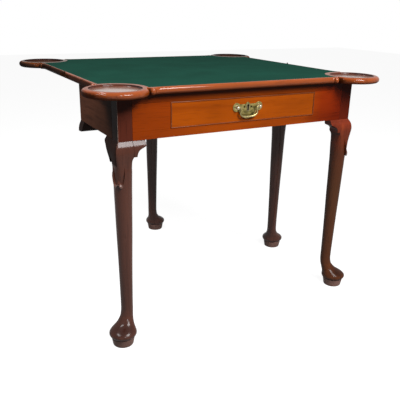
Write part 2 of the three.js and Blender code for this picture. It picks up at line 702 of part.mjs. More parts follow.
// A rail with knuckles on every other level, running from the pivot along +X
function knuckledRail(length, first) {
  const body = block(shoulder, length, -knuckleRadius, knuckleRadius, flyBottom, flyTop);
  const parts = [];
  for (let level = first; level < knuckleCount; level += 2) {
    const z0 = flyBottom + knuckleHeight * level + (level ? fit : 0);
    const z1 = flyBottom + knuckleHeight * (level + 1) - (level + 1 < knuckleCount ? fit : 0);
    parts.push(block(0, shoulder + fit, -knuckleRadius, knuckleRadius, z0, z1));
    parts.push(rod('z', 2 * knuckleRadius, z1 - z0, 0, 0, z0, 2 * roundSides));
  }
  const boreLength = flyTop - flyBottom + 2 * overrun;
  const bore = rod('z', knucklePinDiameter + 2 * fit, boreLength, 0, 0, flyBottom - overrun);
  return cut(join(body, ...parts), bore);
}
const fixedFly = knuckledRail(innerX - gatePivotX - fit, 0);
piece(frame, 'fixed_fly_rail', fixedFly.translate(gatePivotX, gatePivotY, 0), innerWood);
piece(gate, 'swinging_fly_rail', mirrorX(knuckledRail(innerX + gatePivotX - fit, 1)), innerWood);
leg(gate, 'gate_leg', -frameX - gatePivotX, backY - gatePivotY, Math.PI / 2, false);
piece(frame, 'knuckle_pin',
  rod('z', knucklePinDiameter, flyTop - flyBottom, gatePivotX, gatePivotY, flyBottom), steel);

// The drawer's runners, which have a raised guide along their outer sides, and its kickers and stops

const runnerInnerX = drawerWidth / 2 - runnerLap;
const runnerOuterX = runnerInnerX + runnerWidth;
const runnerY = [frontRailBackY + fit, backRailY - fit];
const runner = join(
  block(runnerInnerX, runnerOuterX, ...runnerY, runnerTop - runnerThickness, runnerTop),
  block(openingHalf, runnerOuterX, ...runnerY, runnerTop - runnerThickness, runnerTop + guideHeight));
const kicker = block(runnerInnerX, runnerOuterX, ...runnerY, openingTop, frameTop);
for (const [name, geometry] of [['drawer_runner', runner], ['drawer_kicker', kicker]]) {
  piece(frame, `right_${name}`, geometry, innerWood);
  piece(frame, `left_${name}`, mirrorX(geometry), innerWood);
}
const stop = block(stopSpread / 2 - stopLength / 2, stopSpread / 2 + stopLength / 2,
  drawerBackY + fit, drawerBackY + fit + stopDepth, runnerTop + fit, runnerTop + fit + stopHeight);
piece(frame, 'right_drawer_stop', stop, innerWood);
piece(frame, 'left_drawer_stop', mirrorX(stop), innerWood);

// The drawer

const drawerX = drawerWidth / 2;
const sideInnerX = drawerX - drawerSideThickness;
const drawerEndY = backRailY - drawerBackGap;
const lockBottom = drawerTop - lockBottomDrop;
const lockTop = drawerTop - boltSet;
const lockFrontY = drawerBackY - lockDepth;
const boltBottom = lockTop - boltLength;
const postX = plateWingSpread / 2;
const postY = frontY - postReach;

// The keyhole that runs through the plate, the drawer front and the face of the lock
const keyhole = join(
  rod('y', 2 * keyholeRadius, 2 * overrun + lockFrontY - frontY, 0, frontY - overrun, keyholeHeight),
  block(-keyholeSlotWidth / 2, keyholeSlotWidth / 2, frontY - overrun, lockFrontY + overrun,
    keyholeHeight - keyholeSlotLength, keyholeHeight));

// One cock bead: a strip with a rounded nose, from end to end along X, its outer edge facing +Z
function cockBead(x0, x1) {
  const radius = beadWidth / 2;
  const halfTurn = [Math.PI / 2, 3 * Math.PI / 2];
  const nose = new THREE.Path().absarc(radius - beadReach, -radius, radius, ...halfTurn, false);
  const back = [new THREE.Vector2(beadDepth, -beadWidth), new THREE.Vector2(beadDepth, 0)];
  const outline = [...nose.getPoints(edgeSteps), ...back];
  const strip = new THREE.ExtrudeGeometry(new THREE.Shape(outline), { depth: x1 - x0, bevelEnabled: false });
  const axes = new THREE.Matrix4().makeBasis(
    new THREE.Vector3(0, 1, 0), new THREE.Vector3(0, 0, 1), new THREE.Vector3(1, 0, 0));
  return strip.applyMatrix4(axes).translate(x0, frontY, 0);
}
const longBead = cockBead(-drawerX, drawerX);
const sideBeadHalf = drawerHeight / 2 - beadWidth - fit;
const sideBead = cockBead(-sideBeadHalf, sideBeadHalf);
const drawerMiddle = (drawerTop + drawerBottom) / 2;
piece(drawer, 'top_cock_bead', longBead.clone().translate(0, 0, drawerTop), frontWood);
piece(drawer, 'bottom_cock_bead', longBead.clone().rotateY(Math.PI).translate(0, 0, drawerBottom), frontWood);
for (const [side, right] of [['right', 1], ['left', -1]]) {
  const bead = sideBead.clone().rotateY(right * Math.PI / 2).translate(right * drawerX, 0, drawerMiddle);
  piece(drawer, `${side}_cock_bead`, bead, frontWood);
}

const rebate = beadWidth + fit;
const rebateY = [frontY - overrun, frontY + beadDepth + fit];
const rebates = [
  block(-drawerX - overrun, drawerX + overrun, ...rebateY, drawerTop - rebate, drawerTop + overrun),
  block(-drawerX - overrun, drawerX + overrun, ...rebateY, drawerBottom - overrun, drawerBottom + rebate),
  block(drawerX - rebate, drawerX + overrun, ...rebateY, drawerBottom - overrun, drawerTop + overrun),
  block(-drawerX - overrun, -drawerX + rebate, ...rebateY, drawerBottom - overrun, drawerTop + overrun),
];
const lockPocket = block(-lockWidth / 2 - fit, lockWidth / 2 + fit, lockFrontY - fit, drawerBackY + overrun,
  lockBottom - fit, drawerTop + overrun);
const shankLength = drawerBackY - frontY + nutThickness + 2 * fit;
const shankHoles = [-postX, postX].map(x =>
  rod('y', shankDiameter + 2 * fit, shankLength + 2 * overrun, x, frontY - overrun, postHeight));

// The lock's screws, driven forward through its back into the drawer front
const lockScrewPlaces = [-1, 1].flatMap(side => [lockBottom + lockScrewRise, lockTop - lockScrewRise]
  .map(z => [side * lockScrewSpread / 2, z]));
const lockScrews = grow => lockScrewPlaces.map(([x, z]) => rod('y', lockScrewDiameter + 2 * grow,
  lockScrewGrip + lockDepth / 2, x, lockFrontY - lockScrewGrip - grow, z, fineSides));

piece(drawer, 'drawer_front', cut(
  block(-drawerX, drawerX, frontY, drawerBackY, drawerBottom, drawerTop),
  ...rebates, lockPocket, keyhole, ...shankHoles, ...lockScrews(fit)), frontWood);

const bottomZ = drawerBottom + drawerBottomRise;
const bottomTop = bottomZ + drawerBottomThickness;
const groove = block(sideInnerX - overrun, sideInnerX + drawerGroove, drawerBackY, drawerEndY + overrun,
  bottomZ - fit, bottomTop + fit);
const drawerSideDrop = drawerTopGap * 2;
const sideBlank = block(
  sideInnerX, drawerX, drawerBackY + fit, drawerEndY, drawerBottom, drawerTop - drawerSideDrop);
const drawerSide = cut(sideBlank, groove);
piece(drawer, 'drawer_right_side', drawerSide, innerWood);
piece(drawer, 'drawer_left_side', mirrorX(drawerSide), innerWood);
piece(drawer, 'drawer_bottom', block(-sideInnerX - drawerGroove + fit, sideInnerX + drawerGroove - fit,
  drawerBackY + fit, drawerEndY, bottomZ, bottomTop), innerWood);
piece(drawer, 'drawer_back', block(-sideInnerX + fit, sideInnerX - fit,
  drawerEndY - drawerSideThickness, drawerEndY, bottomTop + fit, drawerTop - 2 * drawerSideDrop), innerWood);

// The lock

const boltChannel = block(-boltWidth / 2 - running, boltWidth / 2 + running, boltY - running,
  boltY + boltThickness + running, boltBottom - running, lockTop + overrun);
const lockBody = block(-lockWidth / 2, lockWidth / 2, lockFrontY, drawerBackY, lockBottom, lockTop);
piece(drawer, 'lock_case', cut(join(lockBody, ...lockScrews(0)), boltChannel, keyhole), brass);
const lockBolt = new THREE.Group();
drawer.add(lockBolt);
piece(lockBolt, 'lock_bolt',
  block(-boltWidth / 2, boltWidth / 2, boltY, boltY + boltThickness, boltBottom, lockTop), steel);

// The handle: a shaped plate with the keyhole in it, two posts, and a bail that hangs between them

// The plate's right half as points, from the bottom of the shield up to the top of the boss. The arcs' starts
// and ends are shares of a half turn.
const shieldRiseShare = 0.82; // of the shield's drop, up to where it is widest
const shieldTurnShares = [-0.5, -0.12];
const wingTurnShares = [-0.7, 0.78];
function plateHalf() {
  const arcTurn = shares => shares.map(share => share * Math.PI);
  const shieldRise = shieldBottomDrop * shieldRiseShare;
  const shieldMiddle = shieldRise - shieldBottomDrop;
  const shield = new THREE.Path().absellipse(
    0, shieldMiddle, postX - shieldInset, shieldRise, ...arcTurn(shieldTurnShares), false, 0);
  const wing = new THREE.Path().absarc(postX, 0, wingRadius, ...arcTurn(wingTurnShares), false);
  const bossStart = Math.asin((plateTopRise - keyBossRise) / keyBossRadius);
  const boss = new THREE.Path().absarc(0, keyBossRise, keyBossRadius, bossStart, Math.PI / 2, false);
  return [...shield.getPoints(fineSides), ...wing.getPoints(roundSides), ...boss.getPoints(edgeSteps)];
}
const rightHalf = plateHalf();
const leftHalf = rightHalf.slice(1, -1).map(({ x, y }) => new THREE.Vector2(-x, y)).reverse();
const plate = plank([...rightHalf, ...leftHalf], 0, plateThickness)
  .rotateX(Math.PI / 2).translate(0, frontY - fit, postHeight);
piece(drawer, 'handle_plate', cut(plate, keyhole, ...shankHoles), brass);

// A post's ball as [radius, distance along], in shares of its radius
const ballShares = [[0, -1], [0.6, -0.8], [1, 0], [0.8, 0.6]];
const plateFrontY = frontY - fit - plateThickness;
function post(x) {
  const ball = ballShares.map(shares => shares.map(share => share * postBallRadius));
  const flange = plateFrontY - fit - postY;
  const neck = (ball[ball.length - 1][1] + flange) / 2;
  const tail = flange + plateThickness + fit + shankLength;
  const profile = [...ball, [postNeckRadius, neck], [postFlangeRadius, flange], [shankDiameter / 2, flange],
    [shankDiameter / 2, tail], [0, tail]];
  const eyeStart = x - postBallRadius - overrun;
  const bailHole = bailDiameter + 2 * running;
  const eye = rod('x', bailHole, 2 * (postBallRadius + overrun), eyeStart, postY, postHeight);
  return cut(turned('y', profile, x, postY, postHeight), eye);
}
const nut = x => cut(rod('y', nutDiameter, nutThickness, x, drawerBackY + fit, postHeight, nutSides),
  rod('y', shankDiameter + 2 * fit, nutThickness + 2 * overrun, x, drawerBackY - overrun, postHeight));
for (const [side, x] of [['left', -postX], ['right', postX]]) {
  piece(drawer, `${side}_handle_post`, post(x), brass);
  piece(drawer, `${side}_handle_nut`, nut(x), brass);
}

// The bail's bow from one arm's root to the other, as shares of half its width and of its drop
const bowShares = [[1.02, 0], [0.96, -0.06], [0.95, -0.2], [1, -0.42], [0.97, -0.68], [0.75, -0.9],
  [0.4, -0.985], [0, -1]];
function bailGeometry() {
  const halfSpan = postX - postBallRadius - bailSideGap - bailDiameter / 2; // to the middle of an arm
  const half = bowShares.map(([x, z]) => new THREE.Vector3(x * halfSpan, z * bailDrop, 0));
  const bow = [...half, ...half.slice(0, -1).map(({ x, y }) => new THREE.Vector3(-x, y, 0)).reverse()];
  const path = new THREE.CurvePath();
  const end = postX + bailPinReach;
  const root = bow[0].x;
  path.add(new THREE.LineCurve3(new THREE.Vector3(end, 0, 0), new THREE.Vector3(root, 0, 0)));
  path.add(new THREE.CatmullRomCurve3(bow));
  path.add(new THREE.LineCurve3(new THREE.Vector3(-root, 0, 0), new THREE.Vector3(-end, 0, 0)));
  const ring = new THREE.Path().absarc(0, 0, bailDiameter / 2, 0, 2 * Math.PI, false);
  const section = new THREE.Shape(ring.getPoints(fineSides));
  return new THREE.ExtrudeGeometry(section, { steps: bailSteps, bevelEnabled: false, extrudePath: path });
}
const bail = new THREE.Group();
drawer.add(bail);
bail.position.set(0, postY, postHeight);
piece(bail, 'handle_bail', bailGeometry().rotateX(Math.PI / 2), brass);

export default table;
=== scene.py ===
# %% [markdown]
# # A folding games table with four candle stands
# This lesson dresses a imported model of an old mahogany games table. It stands open: two hinged leaves lie
# flat, and the back one rests on a leg that has swung out like a gate. The frame gives every piece its place,
# so each step only makes a better surface for a piece that is already in the right spot. All sizes are in
# metres.

# %% Load the frame
from math import acos, asin, copysign, cos, exp, hypot, pi, radians, sin, sqrt, tan

import bmesh
import bpy
import numpy as np
from mathutils import Matrix, Vector


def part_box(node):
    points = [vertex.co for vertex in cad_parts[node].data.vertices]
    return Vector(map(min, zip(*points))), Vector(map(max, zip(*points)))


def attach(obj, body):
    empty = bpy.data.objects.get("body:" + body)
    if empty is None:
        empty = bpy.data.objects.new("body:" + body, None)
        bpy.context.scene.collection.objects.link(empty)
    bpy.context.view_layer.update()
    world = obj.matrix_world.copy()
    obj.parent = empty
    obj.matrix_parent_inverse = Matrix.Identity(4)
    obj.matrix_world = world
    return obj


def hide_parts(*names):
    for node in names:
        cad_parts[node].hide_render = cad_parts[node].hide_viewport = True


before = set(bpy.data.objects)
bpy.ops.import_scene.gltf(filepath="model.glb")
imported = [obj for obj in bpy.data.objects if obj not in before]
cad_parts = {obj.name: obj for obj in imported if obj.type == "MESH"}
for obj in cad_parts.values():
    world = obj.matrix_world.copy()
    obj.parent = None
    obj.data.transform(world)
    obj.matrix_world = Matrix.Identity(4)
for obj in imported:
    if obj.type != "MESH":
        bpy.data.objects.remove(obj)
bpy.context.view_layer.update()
scene = bpy.context.scene
MM = 0.001

# %% [markdown]
# ## The camera
# The picture to match was taken from the front left, a little above the top. A camera is a place, a direction
# and a focal length. With the direction as yaw, pitch and roll each of them is easy to nudge, and the
# camera's turn is then built from three axes.

# %% Camera
CAMERA_PLACE = Vector((-0.8538, -1.6244, 0.9179))
YAW = radians(29.3)
PITCH = radians(20.2)
ROLL = radians(1.2)
FOCAL_PX = 536.8
CENTRE_DROP_PX = 3.3
PICTURE_PX = 400

ahead = Vector((sin(YAW) * cos(PITCH), cos(YAW) * cos(PITCH), -sin(PITCH)))
level_right = Vector((cos(YAW), -sin(YAW), 0))
level_up = level_right.cross(ahead)
right = level_right * cos(ROLL) + level_up * sin(ROLL)
up = level_up * cos(ROLL) - level_right * sin(ROLL)


def add(name, data):
    """An object with this data, in the scene."""
    made = bpy.data.objects.new(name, data)
    scene.collection.objects.link(made)
    return made


camera_data = bpy.data.cameras.new("camera")
camera = add("camera", camera_data)
camera.matrix_world = Matrix.Translation(CAMERA_PLACE) @ Matrix((right, up, -ahead)).transposed().to_4x4()
camera_data.lens = FOCAL_PX / PICTURE_PX * camera_data.sensor_width
camera_data.shift_y = CENTRE_DROP_PX / PICTURE_PX
scene.camera = camera
print("lens", round(camera_data.lens, 2), "mm")

# %% [markdown]
# ## Light
# Softboxes in front, at the left and above the back give polished wood its highlights and put a shadow under
# the overhanging top. The world fills the shadows at a plain level. Camera rays see plain white instead, and
# so do rays that bounce off a mirror or pass through glass, so the background is white without more light on
# the table. One helper adds a shader node and fills its sockets, here and in every finish.

# %% Light
SOFTBOXES = {
    # name: (place, aim, width, height, watts)
    "key_softbox": ((0.4, -1.75, 2.1), (-0.05, -0.3, 0.6), 0.9, 0.9, 66),
    "front_softbox": ((-0.42, -2.2, 1.8), (0, -0.3, 0.5), 0.24, 0.24, 10),
    "left_softbox": ((-1.4, -0.35, 2.05), (-0.35, -0.25, 0.65), 0.9, 0.25, 16),
    "back_softbox": ((-0.5, 0.8, 2.4), (-0.2, -0.3, 0.7), 0.5, 0.25, 9),
}
WORLD_LEVEL = 0.07
WHITE = (1, 1, 1, 1)


def feed(node, **sockets):
    """Gives sockets, by name or as _number, a value or a link to another node's socket."""
    for key, value in sockets.items():
        socket = node.inputs[int(key[1:])] if key[0] == "_" else node.inputs[key.replace("_", " ")]
        if isinstance(value, bpy.types.NodeSocket):
            node.id_data.links.new(value, socket)
        else:
            socket.default_value = value
    return node


def put(tree, kind, operation=None, **sockets):
    made = tree.nodes.new("ShaderNode" + kind)
    if operation:
        made.operation = operation
    return feed(made, **sockets)


def seen_rays(tree):
    """1 for rays that show a surface to the camera: straight, by a mirror or through glass."""
    rays = put(tree, "LightPath").outputs
    seen = rays["Is Camera Ray"]
    for kind in ("Is Glossy Ray", "Is Transmission Ray"):
        seen = put(tree, "Math", "MAXIMUM", _0=seen, _1=rays[kind]).outputs[0]
    return seen


for name, (place, aim, width, height, watts) in SOFTBOXES.items():
    lamp = bpy.data.lights.new(name, "AREA")
    lamp.shape = "RECTANGLE"
    lamp.size, lamp.size_y = width, height
    lamp.energy = watts
    holder = add(name, lamp)
    holder.location = place
    holder.rotation_euler = (Vector(aim) - Vector(place)).to_track_quat("-Z", "Y").to_euler()

scene.view_settings.view_transform = "Standard"
world = bpy.data.worlds.new("studio")
scene.world = world
world.use_nodes = True
sky = world.node_tree
sky.nodes.clear()
dim = put(sky, "Background", Color=WHITE, Strength=WORLD_LEVEL)
white = put(sky, "Background", Color=WHITE)
choose = put(sky, "MixShader", _0=seen_rays(sky), _1=dim.outputs[0], _2=white.outputs[0])
put(sky, "OutputWorld", Surface=choose.outputs[0])
print("softboxes", len(SOFTBOXES))

# %% [markdown]
# ## Small tools for making meshes
# Most pieces here are lofts: closed rings of points joined by quads. One helper makes the object, turns its
# faces outward and marks the creases, so that smooth parts shade smoothly and corners stay crisp.

# %% Mesh helpers
CREASE = radians(32)
NEAR_AXIS = 0.01 * MM
PAST = 3 * MM  # how far a cutter runs past what it opens


def make_mesh(name, points, faces, crease=CREASE):
    mesh = bpy.data.meshes.new(name)
    mesh.from_pydata([tuple(p) for p in points], [], faces)
    made = add(name, mesh)
    settle(made, crease)
    return made


def settle(made, crease=CREASE):
    """Faces outward, smooth shading, and a crease wherever two faces meet at more than an angle."""
    work = bmesh.new()
    work.from_mesh(made.data)
    bmesh.ops.remove_doubles(work, verts=work.verts, dist=1e-6)
    bmesh.ops.dissolve_degenerate(work, dist=1e-6, edges=work.edges)
    bmesh.ops.recalc_face_normals(work, faces=work.faces)
    for face in work.faces:
        face.smooth = True
    for edge in work.edges:
        edge.smooth = len(edge.link_faces) == 2 and edge.calc_face_angle(0) < crease
    work.to_mesh(made.data)
    work.free()
    made.data.update()


def loft(name, rings, crease=CREASE, caps=True):
    """A closed skin over rings of equally many points."""
    sides = len(rings[0])
    points = [p for ring in rings for p in ring]
    faces = []
    for level in range(len(rings) - 1):
        for side in range(sides):
            a, b = level * sides + side, level * sides + (side + 1) % sides
            faces.append((a, b, b + sides, a + sides))
    if caps:
        last = (len(rings) - 1) * sides
        faces.append(tuple(range(sides))[::-1])
        faces.append(tuple(range(last, last + sides)))
    return make_mesh(name, points, faces, crease)


def arc(cx, cy, rx, ry, first, last, count):
    """Points on an ellipse, between two angles counted in half turns."""
    return [(cx + rx * cos(a), cy + ry * sin(a)) for a in np.linspace(first, last, count) * pi]


def turned(name, profile, place, axis="Z", sides=48):
    """A turned piece: its profile lists (radius, distance along the axis)."""
    angles = [2 * pi * side / sides for side in range(sides)]
    rings = [[(radius * cos(a), radius * sin(a), along) for a in angles] for radius, along in profile]
    quarter = pi / 2
    turns = {"X": Matrix.Rotation(quarter, 4, "Y"), "Y": Matrix.Rotation(-quarter, 4, "X"), "Z": Matrix()}
    made = loft(name, rings)
    made.data.transform(Matrix.Translation(place) @ turns[axis])
    return made


def apply_modifiers(made):
    """Puts what the modifiers give into the mesh itself."""
    evaluated = made.evaluated_get(bpy.context.evaluated_depsgraph_get())
    mesh = bpy.data.meshes.new_from_object(evaluated)
    made.modifiers.clear()
    made.data = mesh


def carve(made, others, operation="DIFFERENCE", solver="EXACT"):
    """Cuts others out of one piece, or joins them to it. The others are used up."""
    for other in others:
        step = made.modifiers.new(operation, "BOOLEAN")
        step.operation = operation
        step.solver = solver
        step.object = other
    apply_modifiers(made)
    for other in others:
        bpy.data.objects.remove(other)
    settle(made)


def weigh_normals(made):
    """Lets the large faces set the shading, so that flat wood looks flat beside a rounded edge."""
    made.modifiers.new("weigh", "WEIGHTED_NORMAL").keep_sharp = True
    apply_modifiers(made)


def smoothstep(low, high, value):
    share = min(max((value - low) / (high - low), 0), 1)
    return share * share * (3 - 2 * share)


def through_keys(keys, count_per_unit):
    """Rows that pass smoothly through key rows, by a cubic that never overshoots the keys."""
    table = np.array(keys, float)
    x = table[:, 0]
    step = np.diff(x)
    slope = np.diff(table, axis=0) / step[:, None]
    tangent = np.zeros_like(table)
    tangent[0], tangent[-1] = slope[0], slope[-1]
    for i in range(1, len(x) - 1):
        same_way = slope[i - 1] * slope[i] > 0
        weighted = 2 * slope[i - 1] * slope[i] / np.where(same_way, slope[i - 1] + slope[i], 1)
        tangent[i] = np.where(same_way, weighted, 0)
    rows = []
    for i, width in enumerate(step):
        count = max(1, int(abs(width) * count_per_unit))
        for k in range(count):
            t = k / count
            rows.append((2 * t**3 - 3 * t**2 + 1) * table[i] + (t**3 - 2 * t**2 + t) * width * tangent[i]
                        + (3 * t**2 - 2 * t**3) * table[i + 1] + (t**3 - t**2) * width * tangent[i + 1])
            rows[-1][0] = x[i] + width * t
    return rows + [table[-1]]


# %% [markdown]
# ## Materials: wood
# Mahogany is a warm base with long darker streaks, short dark pores and a slow cloudy change of tone. All of
# it runs along the board, so each texture is squeezed along the grain. The object's own coordinates are used:
# every piece sits at the origin, so one board's grain runs on into the next. Stops along one axis of the table
# change a board's tone slowly: some are the wood's own tone, and some are painted shade, as each says where
# it is listed. The polish itself is a thin coat over a matt base, so that it adds a highlight and leaves the
# wood's colour alone.

# %% Node helpers and wood
GRAIN_STRETCH = 0.045
CLOUD_STRETCH = 0.35
PORE_STRETCH = 0.03
END_GRAIN = (0.42, 0.36, 0.36)
BEND = 0.02


def new_material(name):
    made = bpy.data.materials.new(name)
    made.use_nodes = True
    return made, made.node_tree, made.node_tree.nodes["Principled BSDF"]


def ramp(tree, factor, stops):
    made = put(tree, "ValToRGB", Fac=factor)
    band = made.color_ramp
    while len(band.elements) < len(stops):
        band.elements.new(0.5)
    for element, (place, color) in zip(band.elements, stops):
        element.position = place
        element.color = (*color, 1)
    return made.outputs["Color"]


def grey(value):
    return (value, value, value)


def spot(tree, kind="Object"):
    return put(tree, "TexCoord").outputs[kind]


def noise(tree, place, scale, detail, roughness=0.5, output="Fac"):
    made = put(tree, "TexNoise", Vector=place, Scale=scale, Detail=detail, Roughness=roughness)
    return made.outputs[output]


def times(tree, first, second, share=1.0):
    """One colour multiplied by another."""
    made = put(tree, "MixRGB", Fac=share, Color1=first, Color2=second)
    made.blend_type = "MULTIPLY"
    return made.outputs[0]


def stretched(tree, grain, shrink, shift):
    """Places squeezed along the grain, and bent a little so that no streak runs dead straight."""
    scale = [shrink if axis == grain else 1 for axis in "XYZ"]
    place = spot(tree)
    bend = noise(tree, place, 4.0, 1.0, output="Color")
    away = put(tree, "VectorMath", "SUBTRACT", _0=bend, _1=grey(0.5))
    small = put(tree, "VectorMath", "SCALE", _0=away.outputs[0], Scale=BEND)
    bent = put(tree, "VectorMath", "ADD", _0=place, _1=small.outputs[0])
    return put(tree, "Mapping", Vector=bent.outputs[0], Scale=scale, Location=shift).outputs[0]


def multiplied_along_axis(tree, color, axis, low, high, stops):
    """The colour, multiplied by stops along one axis of the table."""
    place = put(tree, "SeparateXYZ", Vector=spot(tree)).outputs[axis]
    share = put(tree, "MapRange", Value=place, From_Min=low, From_Max=high).outputs[0]
    return times(tree, color, ramp(tree, share, stops))


def wood(name, grain, tones, coat, shine=0.14, shift=(0, 0, 0), streaks=34.0, pore_depth=0.55, tone_and_shade_stops=()):
    """Polished wood with its fibres along the axis grain. End grain drinks polish and is darker."""
    made, tree, shader = new_material(name)
    dark, middle, light = tones
    streak = noise(tree, stretched(tree, grain, GRAIN_STRETCH, shift), streaks, 7.0, 0.62)
    tone = ramp(tree, streak, [(0.28, dark), (0.47, middle), (0.62, middle), (0.8, light)])
    cloud = noise(tree, stretched(tree, grain, CLOUD_STRETCH, shift), 9.0, 3.0, 0.55)
    shade = ramp(tree, cloud, [(0.3, grey(0.72)), (0.5, grey(0.98)), (0.72, grey(1.16))])
    pore = noise(tree, stretched(tree, grain, PORE_STRETCH, shift), 420.0, 2.0)
    pores = ramp(tree, pore, [(0.3, grey(pore_depth)), (0.42, grey(1.0)), (1.0, grey(1.0))])
    color = times(tree, times(tree, tone, shade), pores, 0.8)
    for stops_along in tone_and_shade_stops:
        color = multiplied_along_axis(tree, color, *stops_along)
    fibre = [float(axis == grain) for axis in "XYZ"]
    normal = spot(tree, "Normal")
    facing = put(tree, "VectorMath", "DOT_PRODUCT", _0=normal, _1=fibre)
    across = put(tree, "Math", "ABSOLUTE", _0=facing.outputs["Value"])
    end_grain = ramp(tree, across.outputs[0], [(0.45, grey(1.0)), (0.92, END_GRAIN)])
    bump = put(tree, "Bump", Height=pores, Strength=0.18, Distance=0.0002)
    wave = put(tree, "Bump", Height=cloud, Strength=0.25, Distance=0.0008, Normal=bump.outputs[0])
    feed(shader, Base_Color=times(tree, color, end_grain), Normal=wave.outputs[0], Roughness=0.6,
         Specular_IOR_Level=0.0, Coat_Weight=coat, Coat_Roughness=shine)
    return made


# Tones of each wood: dark, middle and light
FRONT = ((0.22, 0.036, 0.001), (0.34, 0.062, 0.0012), (0.46, 0.11, 0.004))
# The beads' pale light tone is partly wear and partly a painted highlight along their rounded tops
BEAD = ((0.1, 0.02, 0.004), (0.2, 0.045, 0.01), (0.42, 0.2, 0.12))
DARK = ((0.035, 0.011, 0.007), (0.11, 0.036, 0.022), (0.22, 0.085, 0.055))
RUDDY = ((0.06, 0.01, 0.005), (0.19, 0.026, 0.008), (0.34, 0.055, 0.014))
# Painted shade: near-black tones for faces that stand in shade, on the left of the front left leg, two brackets
# on the left, and the back leaf's coves and edge underside
SHADE = ((0.012, 0.004, 0.003), (0.026, 0.009, 0.006), (0.05, 0.018, 0.011))
SIDE = ((0.08, 0.025, 0.012), (0.18, 0.062, 0.031), (0.28, 0.11, 0.058))
STILE = ((0.055, 0.01, 0.006), (0.105, 0.018, 0.0095), (0.16, 0.03, 0.014))
EDGE = ((0.12, 0.018, 0.003), (0.24, 0.046, 0.005), (0.4, 0.09, 0.012))
# Painted reflection: greyer and paler than the rim, as if the dish floors mirrored the bright room; the coat
# adds a real one
DISH_PAINTED_REFLECTION_TONES = ((0.12, 0.06, 0.045), (0.2, 0.11, 0.085), (0.29, 0.18, 0.14))
RIM = ((0.1, 0.024, 0.008), (0.19, 0.05, 0.02), (0.3, 0.1, 0.05))
# Painted shade: near-black tones for the coves inside the dishes
COVE_PAINTED_SHADE_TONES = ((0.03, 0.007, 0.003), (0.08, 0.017, 0.006), (0.13, 0.03, 0.01))
# Painted shade: the next two are darker copies of the edge and dish tones, for the back leaf and the sides of
# the front leaf
BACK_PAINTED_SHADE_TONES = ((0.03, 0.012, 0.007), (0.06, 0.026, 0.015), (0.1, 0.05, 0.032))
EDGE_PAINTED_SHADE_TONES = ((0.06, 0.014, 0.004), (0.13, 0.034, 0.008), (0.2, 0.06, 0.014))
# Painted reflection: grey and pale tones for the back leaf's rims and borders, as if they caught the light
BORDER_PAINTED_REFLECTION_TONES = ((0.07, 0.045, 0.035), (0.12, 0.085, 0.066), (0.18, 0.13, 0.1))
# Painted highlight: pale tones for the outer corner of each stile, where its rounded arris catches the light
ARRIS_HIGHLIGHT_TONES = ((0.16, 0.1, 0.08), (0.42, 0.3, 0.25), (0.6, 0.48, 0.42))
# Paler and pinker than the leg, under a glossy coat: the paler tones paint part of the tips' glint
TIP = ((0.05, 0.017, 0.01), (0.12, 0.05, 0.035), (0.3, 0.16, 0.13))
# Painted reflection: the platform is paler, as if lit by the pale floor
PLATFORM = ((0.16, 0.08, 0.06), (0.28, 0.15, 0.12), (0.38, 0.22, 0.18))
PLAIN = ((0.2, 0.12, 0.06), (0.33, 0.215, 0.115), (0.42, 0.29, 0.17))

# Stops along an axis, for the wood's own tone and for painted shade: the axis, where the stops start and end
# along it in metres, and the stops
# Darker towards both ends and redder at the right: partly the wood's own tone, partly painted shade under the
# corner lobes
FRIEZE_TONE_AND_PAINTED_SHADE = ("X", -0.4, 0.4, [(0.0, (0.64, 0.48, 0.7)), (0.2, (0.7, 0.54, 0.7)), (0.35, (0.86, 0.78, 0.9)),
                                (0.76, (0.84, 0.72, 0.9)), (0.84, (0.66, 0.34, 0.4)),
                                (0.97, (0.52, 0.18, 0.3))])
LEG_STAIN = ("Z", 0.0, 0.6, [(0.0, grey(1)), (0.3, grey(0.95)), (0.62, grey(0.8)), (0.85, (0.62, 0.56, 0.5)),
                             (1.0, (0.6, 0.52, 0.45))])
RUDDY_STAIN = ("Z", 0.0, 0.6, [(0.0, (0.5, 1, 1)), (0.6, (0.42, 1, 1)), (0.8, (0.44, 0.8, 0.9)),
                               (0.9, (0.8, 0.9, 0.8)), (0.96, grey(1))])
# Painted shade: the side rail darkens towards the front, under the overhanging corner lobe
SIDE_PAINTED_SHADE = ("Y", -0.38, 0, [(0.1, grey(0.32)), (0.3, grey(0.6)), (0.55, grey(0.95)), (1.0, grey(0.85))])
STILE_STAIN = ("X", -0.4, 0.4, [(0.1, (0.8, 1, 1)), (0.9, (1.1, 0.66, 0.35))])
# Painted shadow: the top rail darkens towards its top, under the overhanging top
TOP_RAIL_PAINTED_SHADOW = ("Z", 0.683, 0.706, [(0.0, grey(0.7)), (0.5, grey(0.45)), (1.0, grey(0.35))])
FRIEZE_GRAIN = dict(coat=0.1, shift=(0.3, 0.2, 0.7), streaks=22.0, pore_depth=0.7)
# Each wood: its grain, tones and coat, the coat's roughness, and what else is unlike the usual
front_wood = wood("front_mahogany", "X", FRONT, 0.1, streaks=22.0, pore_depth=0.7)
# The frieze carries painted shade towards its ends, under the corner lobes
frieze_wood = wood("frieze_mahogany", "X", FRONT, **FRIEZE_GRAIN, tone_and_shade_stops=[FRIEZE_TONE_AND_PAINTED_SHADE])
# The top rail has the front's tones and a painted shadow under the overhanging top
top_rail_painted_shadow_wood = wood("top_rail_painted_shadow_mahogany", "X", FRONT, **FRIEZE_GRAIN, tone_and_shade_stops=[FRIEZE_TONE_AND_PAINTED_SHADE, TOP_RAIL_PAINTED_SHADOW])
# Cock beads: pale streaks that are partly wear and partly a painted highlight
bead_wood = wood("bead_mahogany", "X", BEAD, 0.35, 0.25)
